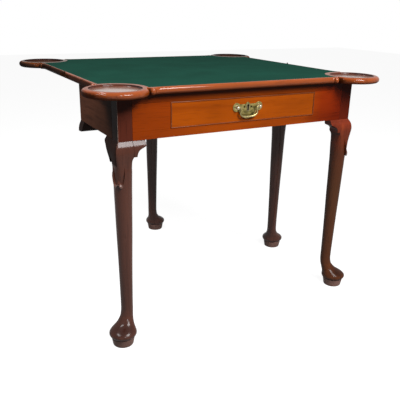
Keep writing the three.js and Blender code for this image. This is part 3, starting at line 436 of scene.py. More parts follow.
# The side rails carry painted shade towards the front
side_wood = wood("side_mahogany", "Y", SIDE, 0.04, tone_and_shade_stops=[SIDE_PAINTED_SHADE])
leg_wood = wood("leg_mahogany", "Z", DARK, 0.36, 0.18, streaks=26.0, tone_and_shade_stops=[LEG_STAIN])
ruddy_wood = wood("ruddy_mahogany", "Z", RUDDY, 0.22, 0.18, streaks=26.0, tone_and_shade_stops=[RUDDY_STAIN])
# Painted shade, for faces that stand in shade
shade_wood = wood("shade_mahogany", "Z", SHADE, 0.08, 0.22, streaks=26.0)
# Painted highlight on the stiles' outer corners
arris_highlight_wood = wood("arris_painted_highlight_mahogany", "Z", ARRIS_HIGHLIGHT_TONES, 0.4)
# The curled tips of the tongue: a glossy coat, and paler tones that paint part of their glint
tip_wood = wood("tip_mahogany", "Z", TIP, 0.9, 0.1)
# The platform, paler as a painted reflection of the floor
platform_wood = wood("platform_mahogany", "Z", PLATFORM, 0.2)
stile_wood = wood("stile_mahogany", "Z", STILE, 0.08, streaks=26.0, tone_and_shade_stops=[STILE_STAIN])
edge_wood = wood("edge_mahogany", "X", EDGE, 0.5, 0.08)
side_edge_wood = wood("side_edge_mahogany", "X", EDGE, 0.2, 0.12)
# Painted shade: darker, duller tones for the underside of the front leaf's edge
underside_painted_shade_wood = wood("underside_painted_shade_mahogany", "X", RIM, 0.03, 0.18)
# Darker than the front edge, partly for the end grain and partly as painted shade on the sides of the front
# leaf
end_grain_painted_shade_wood = wood("end_grain_painted_shade_mahogany", "X", EDGE_PAINTED_SHADE_TONES, 0.05, 0.18)
# Painted shade on the back leaf's edge
back_edge_painted_shade_wood = wood("back_edge_painted_shade_mahogany", "X", EDGE_PAINTED_SHADE_TONES, 0.08, 0.18)
# Painted shade on the back leaf's slanted and end faces
back_end_painted_shade_wood = wood("back_end_painted_shade_mahogany", "X", BACK_PAINTED_SHADE_TONES, 0.03, 0.18)
rim_wood = wood("rim_mahogany", "X", RIM, 0.4, 0.14)
# Painted reflection on the back leaf's rims and borders
back_rim_painted_reflection_wood = wood("back_rim_painted_reflection_mahogany", "X", BORDER_PAINTED_REFLECTION_TONES, 0.3, 0.2)
# Painted reflection on the front leaf's dish floors
dish_painted_reflection_wood = wood("dish_painted_reflection_mahogany", "X", DISH_PAINTED_REFLECTION_TONES, 0.9, 0.16)
# Painted shade on the back leaf's dish floors
back_dish_painted_shade_wood = wood("back_dish_painted_shade_mahogany", "X", BACK_PAINTED_SHADE_TONES, 0.12, 0.2)
# Painted shade in the front leaf's dish coves
cove_painted_shade_wood = wood("cove_painted_shade_mahogany", "X", COVE_PAINTED_SHADE_TONES, 0.5, 0.12)
# Painted shade in the back leaf's dish coves and under its edge
back_cove_painted_shade_wood = wood("back_cove_painted_shade_mahogany", "X", SHADE, 0.1, 0.2)
plain_along_x = wood("plain_wood_along_x", "X", PLAIN, 0.0, pore_depth=0.7)
plain_along_y = wood("plain_wood_along_y", "Y", PLAIN, 0.0, pore_depth=0.7)
print("woods", len(bpy.data.materials))

# %% [markdown]
# ## Materials: cloth and metal
# Baize is a felted wool cloth. It is matt, with a short nap that lightens at a glancing angle, which is what
# the shader's sheen does. Old brass is never one colour: it is brown where it is left alone and yellow where
# hands and cloths rub it.

# %% Cloth and metal
def baize():
    made, tree, shader = new_material("green_baize")
    fibre = noise(tree, spot(tree), 1300.0, 3.0, 0.7)
    thread = ramp(tree, fibre, [(0.3, (0.004, 0.035, 0.023)), (0.7, (0.009, 0.056, 0.038))])
    faded = ramp(tree, noise(tree, spot(tree), 7.0, 4.0, 0.6), [(0.35, grey(0.9)), (0.65, grey(1.1))])
    nap = put(tree, "Bump", Height=fibre, Strength=0.5, Distance=0.0004)
    feed(shader, Base_Color=times(tree, thread, faded), Normal=nap.outputs[0], Roughness=0.95,
         Specular_IOR_Level=0.0, Sheen_Weight=0.02, Sheen_Roughness=0.5)
    return made


def metal(name, tarnish, clean, roughness, bare=0.95):
    """Old metal. Bare is how much of it is not covered by polish and dirt."""
    made, tree, shader = new_material(name)
    cloud = noise(tree, spot(tree), 90.0, 5.0, 0.65)
    tone = ramp(tree, cloud, [(0.36, tarnish), (0.6, clean)])
    rubbed = ramp(tree, cloud, [(0.35, grey(roughness * 1.3)), (0.65, grey(roughness * 0.8))])
    grain = noise(tree, spot(tree), 1500.0, 2.0)
    bump = put(tree, "Bump", Height=grain, Strength=0.12, Distance=0.0001)
    feed(shader, Base_Color=tone, Roughness=rubbed, Normal=bump.outputs[0], Metallic=bare,
         Specular_IOR_Level=bare / 2)
    return made


green_baize = baize()
old_brass = metal("old_brass", (0.09, 0.075, 0.022), (0.33, 0.27, 0.095), 0.34)
dark_brass = metal("dark_brass", (0.035, 0.025, 0.01), (0.11, 0.08, 0.03), 0.5)
rubbed_brass = metal("rubbed_brass", (0.15, 0.12, 0.045), (0.4, 0.34, 0.16), 0.34)
pale_brass = metal("pale_brass", (0.3, 0.25, 0.15), (0.52, 0.45, 0.31), 0.3)
hinge_brass = metal("hinge_brass", (0.03, 0.012, 0.006), (0.07, 0.028, 0.012), 0.6, bare=0.0)
# Painted shade: a dark, dull finish for the sheet in the keyhole and the discs beside it
painted_shade_dark = metal("painted_shade_dark", (0.012, 0.009, 0.004), (0.03, 0.02, 0.008), 0.7, bare=0.0)
dull_steel = metal("dull_steel", (0.1, 0.09, 0.08), (0.3, 0.29, 0.28), 0.45)

# %% [markdown]
# ## Dressing the pieces of the frame that are right already
# Rails, boards and blocks are flat in real life too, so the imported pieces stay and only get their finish. The
# dictionary says which board runs which way.

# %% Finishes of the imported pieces
def pair(name):
    return ["left_" + name, "right_" + name]


def four(name):
    return [end + one for end in ("front_", "back_") for one in pair(name)]


NODE_FINISHES = {
    front_wood: ["drawer_front"],
    bead_wood: ["top_cock_bead", "bottom_cock_bead", *pair("cock_bead")],
    top_rail_painted_shadow_wood: ["front_top_rail"],
    frieze_wood: ["front_bottom_rail", "front_left_panel", "front_right_panel"],
    side_wood: pair("side_rail"),
    plain_along_x: ["inner_back_rail", "fixed_fly_rail", "drawer_back", "drawer_bottom",
                    *pair("drawer_stop")],
    plain_along_y: ["swinging_fly_rail", "drawer_left_side", "drawer_right_side", *pair("drawer_runner"),
                    *pair("drawer_kicker"), *four("top_block")],
    old_brass: pair("handle_nut"),
    dark_brass: ["lock_case"],
    hinge_brass: pair("hinge_fixed_plate") + pair("hinge_folding_plate"),
    dull_steel: ["lock_bolt", "knuckle_pin", *four("top_screw")],
}
for finish, names in NODE_FINISHES.items():
    for name in names:
        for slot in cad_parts[name].material_slots:
            slot.material = finish
print("packed pieces with a finish", sum(len(names) for names in NODE_FINISHES.values()))


def dress(made, finish, body, slot, *nodes):
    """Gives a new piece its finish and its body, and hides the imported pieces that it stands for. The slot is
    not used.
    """
    made.data.materials.clear()
    made.data.materials.append(finish)
    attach(made, body)
    if nodes:
        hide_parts(*nodes)


def finish_faces(made, finishes, choose):
    """Adds finishes, and lets choose pick one for each face by number. The piece's own finish is 0."""
    for finish in finishes:
        made.data.materials.append(finish)
    for face in made.data.polygons:
        face.material_index = choose(face)


# %% [markdown]
# ## The outline of the top
# Each corner is a round lobe that holds a candlestick. Beside it a narrow notch sets off a small rounded
# cusp, and from there the edge flows in to the straight part. One corner is drawn once, as (along the edge,
# out from it), and then mirrored. Drawing it for a given inset gives every ring of the rounded edge from the
# same formula. The lobes are rounded further in than the straight edges, so that only a narrow rim stays flat
# round each dish.

# %% Outline
leaf_low, leaf_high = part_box("folding_leaf")
cloth_low, cloth_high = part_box("folding_leaf_baize")
CLOTH_BORDER = 9 * MM
STAND_INSET = 28 * MM
DISH_RADIUS = 66.5 * MM
DISH_DEPTH = 6 * MM
CUSP_RADIUS = 9 * MM
CUSP_SWEEP = 26 * MM
CUSP_START, CUSP_END = 0.15, 1.12
NOTCH_WIDTH = 5 * MM
NOTCH_LAP = 5.7 * MM
NOTCH_CUT = 7 * MM
NOTCH_ROUND_SHARE = 0.4
EDGE_ROUND = 8 * MM
LOBE_ROUND_SHARE = 0.5
straight_x = cloth_high.x + CLOTH_BORDER
straight_y = cloth_high.y + CLOTH_BORDER
stand_x = straight_x - STAND_INSET
stand_y = straight_y - STAND_INSET
stand_radius = leaf_high.x - stand_x
lobe_end = sqrt(stand_radius**2 - STAND_INSET**2) - NOTCH_LAP
cusp_run = lobe_end + NOTCH_WIDTH + CUSP_RADIUS


def half_corner(inset, extra):
    """From the straight edge to the middle of the lobe, as (along, out) from the lobe's centre."""
    reach = max(CUSP_RADIUS - inset, 0.3 * MM)
    cusp = arc(cusp_run, STAND_INSET, reach, reach, CUSP_START, CUSP_END, 22)
    start = np.array((cusp_run + CUSP_SWEEP, STAND_INSET - inset))
    finish = np.array(cusp[0])
    bend = np.array((finish[0] + (finish[1] - start[1]) * tan(CUSP_START * pi), start[1]))
    sweep = [(1 - t) ** 2 * start + 2 * t * (1 - t) * bend + t**2 * finish for t in np.linspace(0, 0.95, 14)]
    notch_out = STAND_INSET - NOTCH_CUT - NOTCH_ROUND_SHARE * inset
    notch = [(lobe_end + NOTCH_WIDTH * share, notch_out + NOTCH_WIDTH * rise)
             for share, rise in ((0.7, 0.1), (0.5, 0), (0.3, 0.1))]
    radius = stand_radius - inset - LOBE_ROUND_SHARE * extra
    lobe = arc(0, 0, radius, radius, acos(lobe_end / stand_radius) / pi, 0.75, 40)
    return [tuple(p) for p in sweep] + cusp + notch + lobe


def back_outline(inset, extra, fold_y):
    """The outline of the back leaf, counter-clockwise from the fold line at the right."""
    half = half_corner(inset, extra)
    right_side = [(stand_x + out, stand_y - along) for along, out in half]
    back_side = [(stand_x - along, stand_y + out) for along, out in half[:-1]][::-1]
    corner = right_side + back_side
    left = [(-x, y) for x, y in corner][::-1]
    edge = straight_x - inset
    return [(edge, fold_y)] + corner + left + [(-edge, fold_y)]


print("outline points", len(back_outline(0, 0, 0)))

# %% [markdown]
# ## The two leaves
# The edge is half an ellipse, in enough steps that the highlight runs along it without facets. The dishes,
# the bed of the cloth and the beds of the hinges are cut out afterwards, as on a bench. Rims, dishes, coves
# and edges then take different finishes face by face.

# %% Leaves
EDGE_STEPS = 20
FIT = 0.3 * MM
CLOTH_RECESS = 1.5 * MM
DISH_COVE = 4.2 * MM
CLOTH_DISH_BORDER = 15.5 * MM
HINGE_THICKNESS = 2.6 * MM
HINGE_BED_RISE = 10 * MM
HINGE_MOUTH = 7.2 * MM


def cloth_outline(grow, fold_y):
    edge_x = straight_x - CLOTH_BORDER + grow
    radius = DISH_RADIUS + CLOTH_DISH_BORDER - grow
    past = asin((edge_x - stand_x) / radius) / pi
    corner = arc(stand_x, stand_y, radius, radius, past - 0.5, -1 - past, 36)
    return [(edge_x, fold_y)] + corner + [(-x, y) for x, y in corner][::-1] + [(-edge_x, fold_y)]


def dish_cutter(x, y):
    """Turned from the floor of the dish up past the top, with a cove and a softened lip."""
    floor = -DISH_DEPTH
    lip = 0.8 * MM
    profile = [(NEAR_AXIS, floor), (DISH_RADIUS - 1.6 * DISH_COVE, floor)]
    profile += arc(DISH_RADIUS - DISH_COVE, floor + DISH_COVE, DISH_COVE, DISH_COVE, -0.5, 0, 9)
    profile += [(DISH_RADIUS, -lip), (DISH_RADIUS + 0.3 * lip, -0.3 * lip), (DISH_RADIUS + lip, 0.02 * MM)]
    profile += [(DISH_RADIUS + lip, PAST), (NEAR_AXIS, PAST)]
    return turned("dish_cutter", profile, Vector((x, y, leaf_high.z)), sides=96)


def hinge_cutters(sign):
    """At each end of the fold, a bed for the hinge's plate and a narrower mouth above it."""
    low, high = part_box("right_hinge_folding_plate")
    inner, outer = straight_x - HINGE_THICKNESS - 2 * FIT, straight_x + PAST
    bed_top = low.z + HINGE_BED_RISE + FIT
    cutters = []
    for side in (-1, 1):
        for reach, bottom, top in ((high.y + FIT, low.z - FIT, bed_top),
                                   (HINGE_MOUTH, bed_top - PAST, leaf_high.z + PAST)):
            corners = ((inner, -PAST), (outer, -PAST), (outer, reach), (inner, reach))
            cutters.append(loft("hinge_bed", [[(side * x, sign * y, z) for x, y in corners]
                                              for z in (bottom, top)]))
    return cutters


LEAF_FINISHES = {
    # front leaf or back: the edge to the front, at a slant and to the side, rims and borders, dishes, coves,
    # and the underside of the edge
    True: [edge_wood, side_edge_wood, end_grain_painted_shade_wood, rim_wood, dish_painted_reflection_wood, cove_painted_shade_wood, underside_painted_shade_wood],
    # The back leaf takes darker copies as painted shade, with a painted reflection on its rims and borders
    False: [back_edge_painted_shade_wood, back_end_painted_shade_wood, back_end_painted_shade_wood, back_rim_painted_reflection_wood, back_dish_painted_shade_wood, back_cove_painted_shade_wood,
            back_cove_painted_shade_wood],
}
RIM_FACE, DISH_FACE, COVE_FACE, UNDER_FACE = 3, 4, 5, 6


def leaf_face(face):
    """The number of a face's finish, by where it lies and which way it faces."""
    out = hypot(abs(face.center.x) - stand_x, abs(face.center.y) - stand_y)
    if face.normal.z > 0.97:
        sunk = face.center.z < leaf_high.z - DISH_DEPTH / 2
        return DISH_FACE if sunk and out < DISH_RADIUS + MM else RIM_FACE
    if out < DISH_RADIUS + MM:
        return COVE_FACE
    # Faces turned down take painted shade
    if face.normal.z < -0.2:
        return UNDER_FACE
    # Faces turned fully to the side take a darker finish, partly for the end grain and partly as painted shade
    return (abs(face.normal.x) > 0.55) + (abs(face.normal.x) > 0.8)


def make_leaf(name, body, front):
    sign = -1 if front else 1
    middle = (leaf_low.z + leaf_high.z) / 2
    half_height = (leaf_high.z - leaf_low.z) / 2
    rings = []
    for angle in np.linspace(-pi / 2, pi / 2, EDGE_STEPS + 1):
        inset = EDGE_ROUND * (1 - cos(angle))
        outline = back_outline(inset, inset if angle > 0 else 0, leaf_low.y)
        rings.append([(x, sign * y, middle + half_height * sin(angle)) for x, y in outline])
    leaf = loft(name, rings)
    bed = cloth_outline(FIT, -PAST)
    heights = (leaf_high.z - CLOTH_RECESS, leaf_high.z + PAST)
    cutters = [loft("cloth_bed", [[(x, sign * y, z) for x, y in bed] for z in heights])]
    cutters += [dish_cutter(side * stand_x, sign * stand_y) for side in (-1, 1)]
    carve(leaf, cutters + hinge_cutters(sign))
    weigh_normals(leaf)
    finishes = LEAF_FINISHES[front]
    dress(leaf, finishes[0], body, "top_mahogany", "fixed_leaf" if front else "folding_leaf")
    finish_faces(leaf, finishes[1:], leaf_face)
    return leaf


front_leaf = make_leaf("front_leaf_wood", "root", True)
back_leaf = make_leaf("back_leaf_wood", "folding_top", False)
print("leaf faces", len(front_leaf.data.polygons), len(back_leaf.data.polygons))

# %% [markdown]
# ## The baize
# Two sheets of felted cloth, glued into their beds with the corners cut round the dishes. Each is a thin loft
# with a softened upper edge; the size it was cut to and its area are printed.

# %% Baize
CLOTH_THICKNESS = 1.0 * MM


def make_baize(name, body, front):
    sign = -1 if front else 1
    levels = [(-0.05 * MM, 0), (0.0, 0.3), (0.0, 0.75), (-0.12 * MM, 0.93), (-0.4 * MM, 1.0)]
    cloth = loft(name, [[(x, sign * y, cloth_low.z + CLOTH_THICKNESS * share)
                         for x, y in cloth_outline(grow, cloth_low.y)] for grow, share in levels])
    weigh_normals(cloth)
    outline = np.array(cloth_outline(0, cloth_low.y))
    x, y = outline[:, 0], outline[:, 1]
    area = abs(np.dot(x, np.roll(y, -1)) - np.dot(y, np.roll(x, -1))) / 2
    size = (2 * cloth_high.x, cloth_high.y - cloth_low.y)
    dress(cloth, green_baize, body, "baize", "fixed_leaf_baize" if front else "folding_leaf_baize")
    return size, float(area)


for name, body, front in (("front_baize", "root", True), ("back_baize", "folding_top", False)):
    print(name, make_baize(name, body, front))

# %% [markdown]
# ## The legs
# A leg is sawn from one square length. The top stays square, as the stile that joins the rails. Under it the
# knee rolls out beyond the frame, then the section turns from nearly square to round, thins down to the ankle
# and swells into a pad foot on a small platform. A superellipse goes from square to round with one number,
# its squareness. The knee's key rows say how far it bulges and reaches back, and the shaft's say where the
# middle of its section lies and half its width, all counted from the stile's outer faces.

# %% Leg rows
PAD_REACH = 5.7 * MM
PAD_RADIUS = 39.25 * MM
FRIEZE_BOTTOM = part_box("front_bottom_rail")[0].z
LEG_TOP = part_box("back_right_leg")[1].z
LEG_SIDES = 72
STILE_HALF = 20
STILE_SQUARENESS = (30, 60)
KNEE_KEYS = [
    # drop below the frieze, bulge beyond the stile's faces and reach behind them, in mm, and squareness at
    # the outer corner and at the corners where the brackets join
    (0.2, 0.3, 39.4, 40, 60), (2.5, 1.3, 39.4, 28, 60), (6, 3.9, 39.4, 20, 60), (10, 6.4, 39.4, 14, 60),
    (16, 9.0, 39.4, 11, 60), (23, 10.7, 39.4, 9, 60), (30, 11.4, 39.4, 8, 60), (37, 11.0, 39.4, 7, 60),
    (41, 10.5, 39.4, 6.4, 50), (45, 10.1, 38.4, 5.8, 14), (50, 9.6, 37.6, 5.2, 7), (57, 8.8, 37.4, 4.5, 5),
    (70, 8.4, 38.2, 3.4, 3.4), (82, 9.0, 39.4, 2.7, 2.7),
]
SHAFT_KEYS = [
    # height, middle and half width in mm
    (442, -15.5, 24.0), (410, -15.6, 23.3), (336, -16.0, 21.9), (263, -16.3, 20.0), (181, -16.6, 18.3),
    (100, -17.0, 17.25), (78.5, -15.0, 18.1), (66.5, -10.6, 21.0), (57, -5.7, 25.4), (50, -0.2, 30.9),
    (43.5, 3.8, 36.1), (39, 5.4, 38.6), (35.5, 5.7, 39.25), (32.5, 5.7, 38.9), (29, 5.7, 37.2),
    (26.4, 5.7, 34.4), (25, 5.7, 32.4), (24.2, 5.7, 31.9), (23.2, 5.7, 32.7), (21.8, 5.7, 33.0),
    (18.5, 5.7, 32.5), (10, 5.7, 30.9), (1.2, 5.7, 29.3), (0, 5.7, 28.5),
]


def leg_rows():
    stile = (-STILE_HALF, STILE_HALF, *STILE_SQUARENESS)
    rows = [(LEG_TOP / MM, *stile), (FRIEZE_BOTTOM / MM, *stile)]
    keys = [(FRIEZE_BOTTOM / MM - drop, (bulge - behind) / 2, (bulge + behind) / 2, *squareness)
            for drop, bulge, behind, *squareness in KNEE_KEYS]
    keys += [(z, middle, half, 2, 2) for z, middle, half in SHAFT_KEYS]
    rows += [tuple(row) for row in through_keys(keys, 0.4)]
    return np.array(rows) * (MM, MM, MM, 1, 1)


LEG_ROWS = leg_rows()
KNEE_PROFILE = np.array([key[:2] for key in KNEE_KEYS]) * MM


def knee_bulge(drop):
    """How far the knee stands out at a drop below the frieze. The brackets follow it."""
    return float(np.interp(drop, KNEE_PROFILE[:, 0], KNEE_PROFILE[:, 1]))


def section(z):
    """Middle, half width and squareness of the leg at a height."""
    rising = LEG_ROWS[::-1]
    return [float(np.interp(z, rising[:, 0], rising[:, column])) for column in (1, 2, 3)]


def section_radius(z, angle):
    _, half, power = section(z)
    return half / (abs(cos(angle)) ** power + abs(sin(angle)) ** power) ** (1 / power)


def section_ring(z, middle, half, outer_power, joint_power):
    ring = []
    for side in range(LEG_SIDES):
        angle = 2 * pi * (side + 0.5) / LEG_SIDES
        c, s = cos(angle), sin(angle)
        power = outer_power if c > 0 and s > 0 else joint_power
        x = copysign(abs(c) ** (2 / power), c)
        y = copysign(abs(s) ** (2 / power), s)
        ring.append((middle + half * x, middle + half * y, z))
    return ring


print("leg rows", len(LEG_ROWS), "of", LEG_SIDES, "points")

# %% [markdown]
# ## The carved tongue
# The two front legs wear a carved tongue on their outer corner: it clings to the knee, and its lower edge
# curls out in two small round lobes with a nick between them. It is a patch of its own, laid out across and
# down, so that its edge follows the curl exactly. It is sunk a little into the leg and joined to it by a
# boolean.

# %% Tongue
TONGUE_HALF_ANGLE = radians(44)
TONGUE_TOP_DROP = 16 * MM
TONGUE_TIP_DROP = 119 * MM
LOBE_SHARE = 0.42
NICK = 10 * MM
SIDE_RISE = 62 * MM
TONGUE_THICKNESS = 1.5 * MM
CURL = 5.2 * MM
CURL_HEIGHT = 13 * MM
TONGUE_SUNK = 3 * MM
SIDE_SUNK = 0.5 * MM
GROOVE_DEPTH_SHARE = 0.35
GROOVE_WIDTH_SHARE = 0.08
UNDERCUT = 2.6 * MM
LAST_UNDERCUT = 2.2 * MM
# Under the curl: how far each row hangs below the edge and lies behind it, in mm
CURL_ROWS = ((1.2, -0.5), (1.5, -1.6), (1.1, -3.2), (0.2, -5.0), (-1.2, -6.6), (-2.0, -8.5))


def tongue_edge_drop(across):
    share = abs(across)
    if share < LOBE_SHARE:
        return TONGUE_TIP_DROP - NICK * (1 - sin(pi / 2 * share / LOBE_SHARE))
    return TONGUE_TIP_DROP - SIDE_RISE * ((share - LOBE_SHARE) / (1 - LOBE_SHARE)) ** 1.7


def tongue_point(across, height, lift):
    angle = pi / 4 + across * TONGUE_HALF_ANGLE
    middle = section(height)[0]
    radius = section_radius(height, angle) + lift
    return (middle + radius * cos(angle), middle + radius * sin(angle), height)


def tongue():
    """Each ring runs across the outer skin and back along the sunk one. They meet in the end rings."""
    across = np.linspace(-1, 1, 41)
    rings = []

    def add_ring(outer_drop, inner_drop, lift):
        outer = [tongue_point(s, FRIEZE_BOTTOM - outer_drop(s), lift(s)) for s in across]
        inner = [tongue_point(s, FRIEZE_BOTTOM - inner_drop(s), -TONGUE_SUNK) for s in across]
        rings.append(outer + inner[::-1])

    def down_to(t, short):
        return lambda s: TONGUE_TOP_DROP + (tongue_edge_drop(s) - short - TONGUE_TOP_DROP) * t

    def flat_side(s):
        return 1 - smoothstep(0.8, 1, abs(s))

    def groove(s, t):
        deep = GROOVE_DEPTH_SHARE * exp(-(s / GROOVE_WIDTH_SHARE) ** 2)
        return 1 - deep * smoothstep(0.5, 0.9, t)

    def skin_lift(t):
        def lift(s):
            left = (tongue_edge_drop(s) - TONGUE_TOP_DROP) * (1 - t)
            raised = TONGUE_THICKNESS * smoothstep(0, 0.5, t) + CURL * (1 - smoothstep(0, CURL_HEIGHT, left))
            sunk = SIDE_SUNK * (1 - flat_side(s) * smoothstep(0, 0.12, t))
            return raised * groove(s, t) * flat_side(s) - sunk
        return lift

    add_ring(down_to(0, 0), down_to(0, 0), lambda s: -TONGUE_SUNK)
    for t in list(np.linspace(0.02, 0.8, 18)) + list(np.linspace(0.82, 1, 12)):
        add_ring(down_to(t, 0), down_to(t, UNDERCUT), skin_lift(t))
    for lower, back in CURL_ROWS:
        def lift(s):
            tip = (TONGUE_THICKNESS + CURL) * groove(s, 1) + back * MM
            return max(tip, -UNDERCUT) * flat_side(s) - SIDE_SUNK * (1 - flat_side(s))
        shrink = UNDERCUT - 0.1 * MM * (1.2 - lower)
        add_ring(down_to(1, -lower * MM), down_to(1, shrink), lift)
    last = down_to(1, LAST_UNDERCUT)
    add_ring(last, last, lambda s: -TONGUE_SUNK)
    return loft("tongue", rings, caps=False)


print("tongue, from its lowest point up to its nick", round(NICK / MM), "mm")

# %% [markdown]
# ## Placing the four legs
# All legs share one shape, drawn with its outer corner at the origin, and each is turned to face its own
# corner of the frame. The imported leg's box tells where that is: it is the box less the reach of the foot.
# Faces then take other finishes by where they lie: the stile, its outer corner with a painted highlight, the
# side in painted shade, the tips of the tongue with paler tones that paint part of their glint, and the
# platform with a painted reflection of the floor.

# %% Legs
FOOT_REACH = PAD_REACH + PAD_RADIUS
SHADE_DROP = 62 * MM
TIP_DROPS = (110 * MM, 124 * MM)
PLATFORM_TOP = 23.8 * MM
TIP_RADIUS = 26.5 * MM
TIP_AXIS = section(FRIEZE_BOTTOM - TONGUE_TIP_DROP)[0]
LEG_FINISHES = [stile_wood, arris_highlight_wood, shade_wood, tip_wood, platform_wood]
STILE_FACE, ARRIS_HIGHLIGHT_FACE, SHADE_FACE, TIP_FACE, PLATFORM_FACE = 1, 2, 3, 4, 5
LEGS = {
    # node: (body, side in x, side in y, quarter turns, carved)
    "front_left_leg": ("root", -1, -1, 2, True),
    "front_right_leg": ("root", 1, -1, 3, True),
    "back_right_leg": ("root", 1, 1, 0, False),
    "gate_leg": ("gate", 1, 1, 0, False),
}


def leg_corner(node, side_x, side_y):
    low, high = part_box(node)
    x = high.x - FOOT_REACH if side_x > 0 else low.x + FOOT_REACH
    y = high.y - FOOT_REACH if side_y > 0 else low.y + FOOT_REACH
    return Vector((x, y, 0))


def leg_face(face, node, corner):
    """The number of a face's finish."""
    _, side_x, side_y, _, carved = LEGS[node]
    drop = FRIEZE_BOTTOM - face.center.z
    # Painted shade on the faces of the front left leg's stile and knee that turn to the left
    if node == "front_left_leg" and drop < SHADE_DROP and face.normal.x < -0.8:
        return SHADE_FACE
    if drop < 0.5 * MM:
        # The outer corner of the stile takes a painted highlight
        return ARRIS_HIGHLIGHT_FACE if min(side_x * face.normal.x, side_y * face.normal.y) > 0.3 else STILE_FACE
    out = face.center - corner - Vector((side_x, side_y, 0)) * TIP_AXIS
    # The curled tips take paler tones that paint part of their glint
    if carved and TIP_DROPS[0] < drop < TIP_DROPS[1] and hypot(out.x, out.y) > TIP_RADIUS:
        return TIP_FACE
    # The platform takes a painted reflection of the floor
    return PLATFORM_FACE if face.center.z < PLATFORM_TOP else 0


for node, (body, side_x, side_y, turns, carved) in LEGS.items():
    made = loft(node + "_wood", [section_ring(*row) for row in LEG_ROWS])
    if carved:
        carve(made, [tongue()], "UNION", "MANIFOLD")
    weigh_normals(made)
    corner = leg_corner(node, side_x, side_y)
    made.data.transform(Matrix.Translation(corner) @ Matrix.Rotation(turns * pi / 2, 4, "Z"))
    dress(made, ruddy_wood if node == "front_right_leg" else leg_wood, body, "dark_mahogany", node)
    finish_faces(made, LEG_FINISHES, lambda face: leg_face(face, node, corner))
    print(node, "faces", len(made.data.polygons))

# %% [markdown]
# ## The knee brackets
# A bracket fills the angle between a knee and the rail. Seen from the front its lower edge sweeps up in an
# ogee to a blunt end. Its face rolls out from under the frieze like the knee beside it, dips a little and
# flares again at the lower edge. One section is drawn for each place along the rail.

# %% Brackets
BRACKET_SHARES = [(0.645, 1.0), (0.655, 0.86), (0.675, 0.74), (0.71, 0.64), (0.76, 0.555), (0.83, 0.49),
                  (0.9, 0.44), (0.96, 0.39), (0.985, 0.35), (1.0, 0.29)]
SIDE_SHARES = [(0.49, 1.0), (0.507, 0.93), (0.538, 0.83), (0.582, 0.72), (0.635, 0.6), (0.706, 0.46),
               (0.794, 0.33), (0.882, 0.25), (0.953, 0.2), (1.0, 0.14)]
BLOCK_SHARES = [(0.64, 1.0), (0.7, 1.0), (0.8, 0.98), (0.9, 0.94), (0.96, 0.86), (0.99, 0.7), (1.0, 0.5)]
FACE_SHARES = [0, 0.03, 0.08, 0.15, 0.22, 0.3, 0.38, 0.47, 0.56, 0.65, 0.74, 0.82, 0.89, 0.95, 0.985]
BRACKET_CREASE = radians(40)
ARRIS = 0.8 * MM
# Depth behind the stile's face, start along the rail, and share of the knee's bulge
KNEE_BLOCK = (25 * MM, 39.8 * MM, 1.0)
RAIL_BLOCK = (46 * MM, 41 * MM, 0.72)


def bracket(name, shares, reach, drop, depth_behind, start, bulge):
    """Runs along +X from its leg and faces -Y, with the leg's outer corner at the origin."""
    stations = [(start, drop), ((start + shares[0][0] * reach) / 2, drop)]
    stations += [(x * reach, z * drop) for x, z in shares]
    rings = []
    for x, depth in stations:
        front = [(x, -bulge * knee_bulge(depth * down + FIT), -depth * down - FIT) for down in FACE_SHARES]
        front.append((x, -bulge * knee_bulge(depth) + ARRIS, -depth - FIT))
        back = [(x, depth_behind, -depth - FIT), (x, depth_behind, -FIT)]
        rings.append(front + back)
    return loft(name, rings, BRACKET_CREASE)


BRACKETS = {
    # node: leg, degrees turned, mirrored, lower edge, reach and drop in mm, finish
    "front_left_front_bracket": ("front_left_leg", 0, False, BRACKET_SHARES, 75, 41, leg_wood),
    "front_right_front_bracket": ("front_right_leg", 0, True, BRACKET_SHARES, 75, 41, ruddy_wood),
    "front_right_side_bracket": ("front_right_leg", 90, False, SIDE_SHARES, 85, 60, leg_wood),
    # This bracket and the one at the back of the left rail take painted shade
    "front_left_side_bracket": ("front_left_leg", 90, True, SIDE_SHARES, 85, 60, shade_wood),
    "back_right_side_bracket": ("back_right_leg", -90, True, SIDE_SHARES, 85, 60, leg_wood),
    "left_rail_back_bracket": (None, -90, False, BLOCK_SHARES, 75, 31, shade_wood),
}
back_corner = leg_corner("back_right_leg", 1, 1)
for node, (leg, turn, flip, shares, reach, drop, finish) in BRACKETS.items():
    made = bracket(node + "_wood", shares, reach * MM, drop * MM, *(KNEE_BLOCK if leg else RAIL_BLOCK))
    place = leg_corner(leg, *LEGS[leg][1:3]) if leg else Vector((-back_corner.x, back_corner.y, 0))
    turned_by = Matrix.Rotation(radians(turn), 4, "Z")
    if flip:
        turned_by = Matrix.Scale(-1, 4, (1, 0, 0)) @ turned_by
    made.data.transform(Matrix.Translation(place + Vector((0, 0, FRIEZE_BOTTOM))) @ turned_by)
    settle(made, BRACKET_CREASE)
    weigh_normals(made)
    dress(made, finish, "root", "dark_mahogany", node)
print("brackets", len(BRACKETS))

# %% [markdown]
# ## The handle
# The drawer has one cast brass handle: a thin shaped plate with the keyhole, two posts with round heads, and
# a bail that hangs from them. The plate is its own outline extruded with a small bevel, then pierced. A
# raised rim, worn pale, runs round the keyhole. A dark sheet in the keyhole paints the shade deep inside it,
# and two dark discs beside it paint the shade of two small holes.
# The bail is a round bar, thicker at the bottom of its bow, swept along a curve.

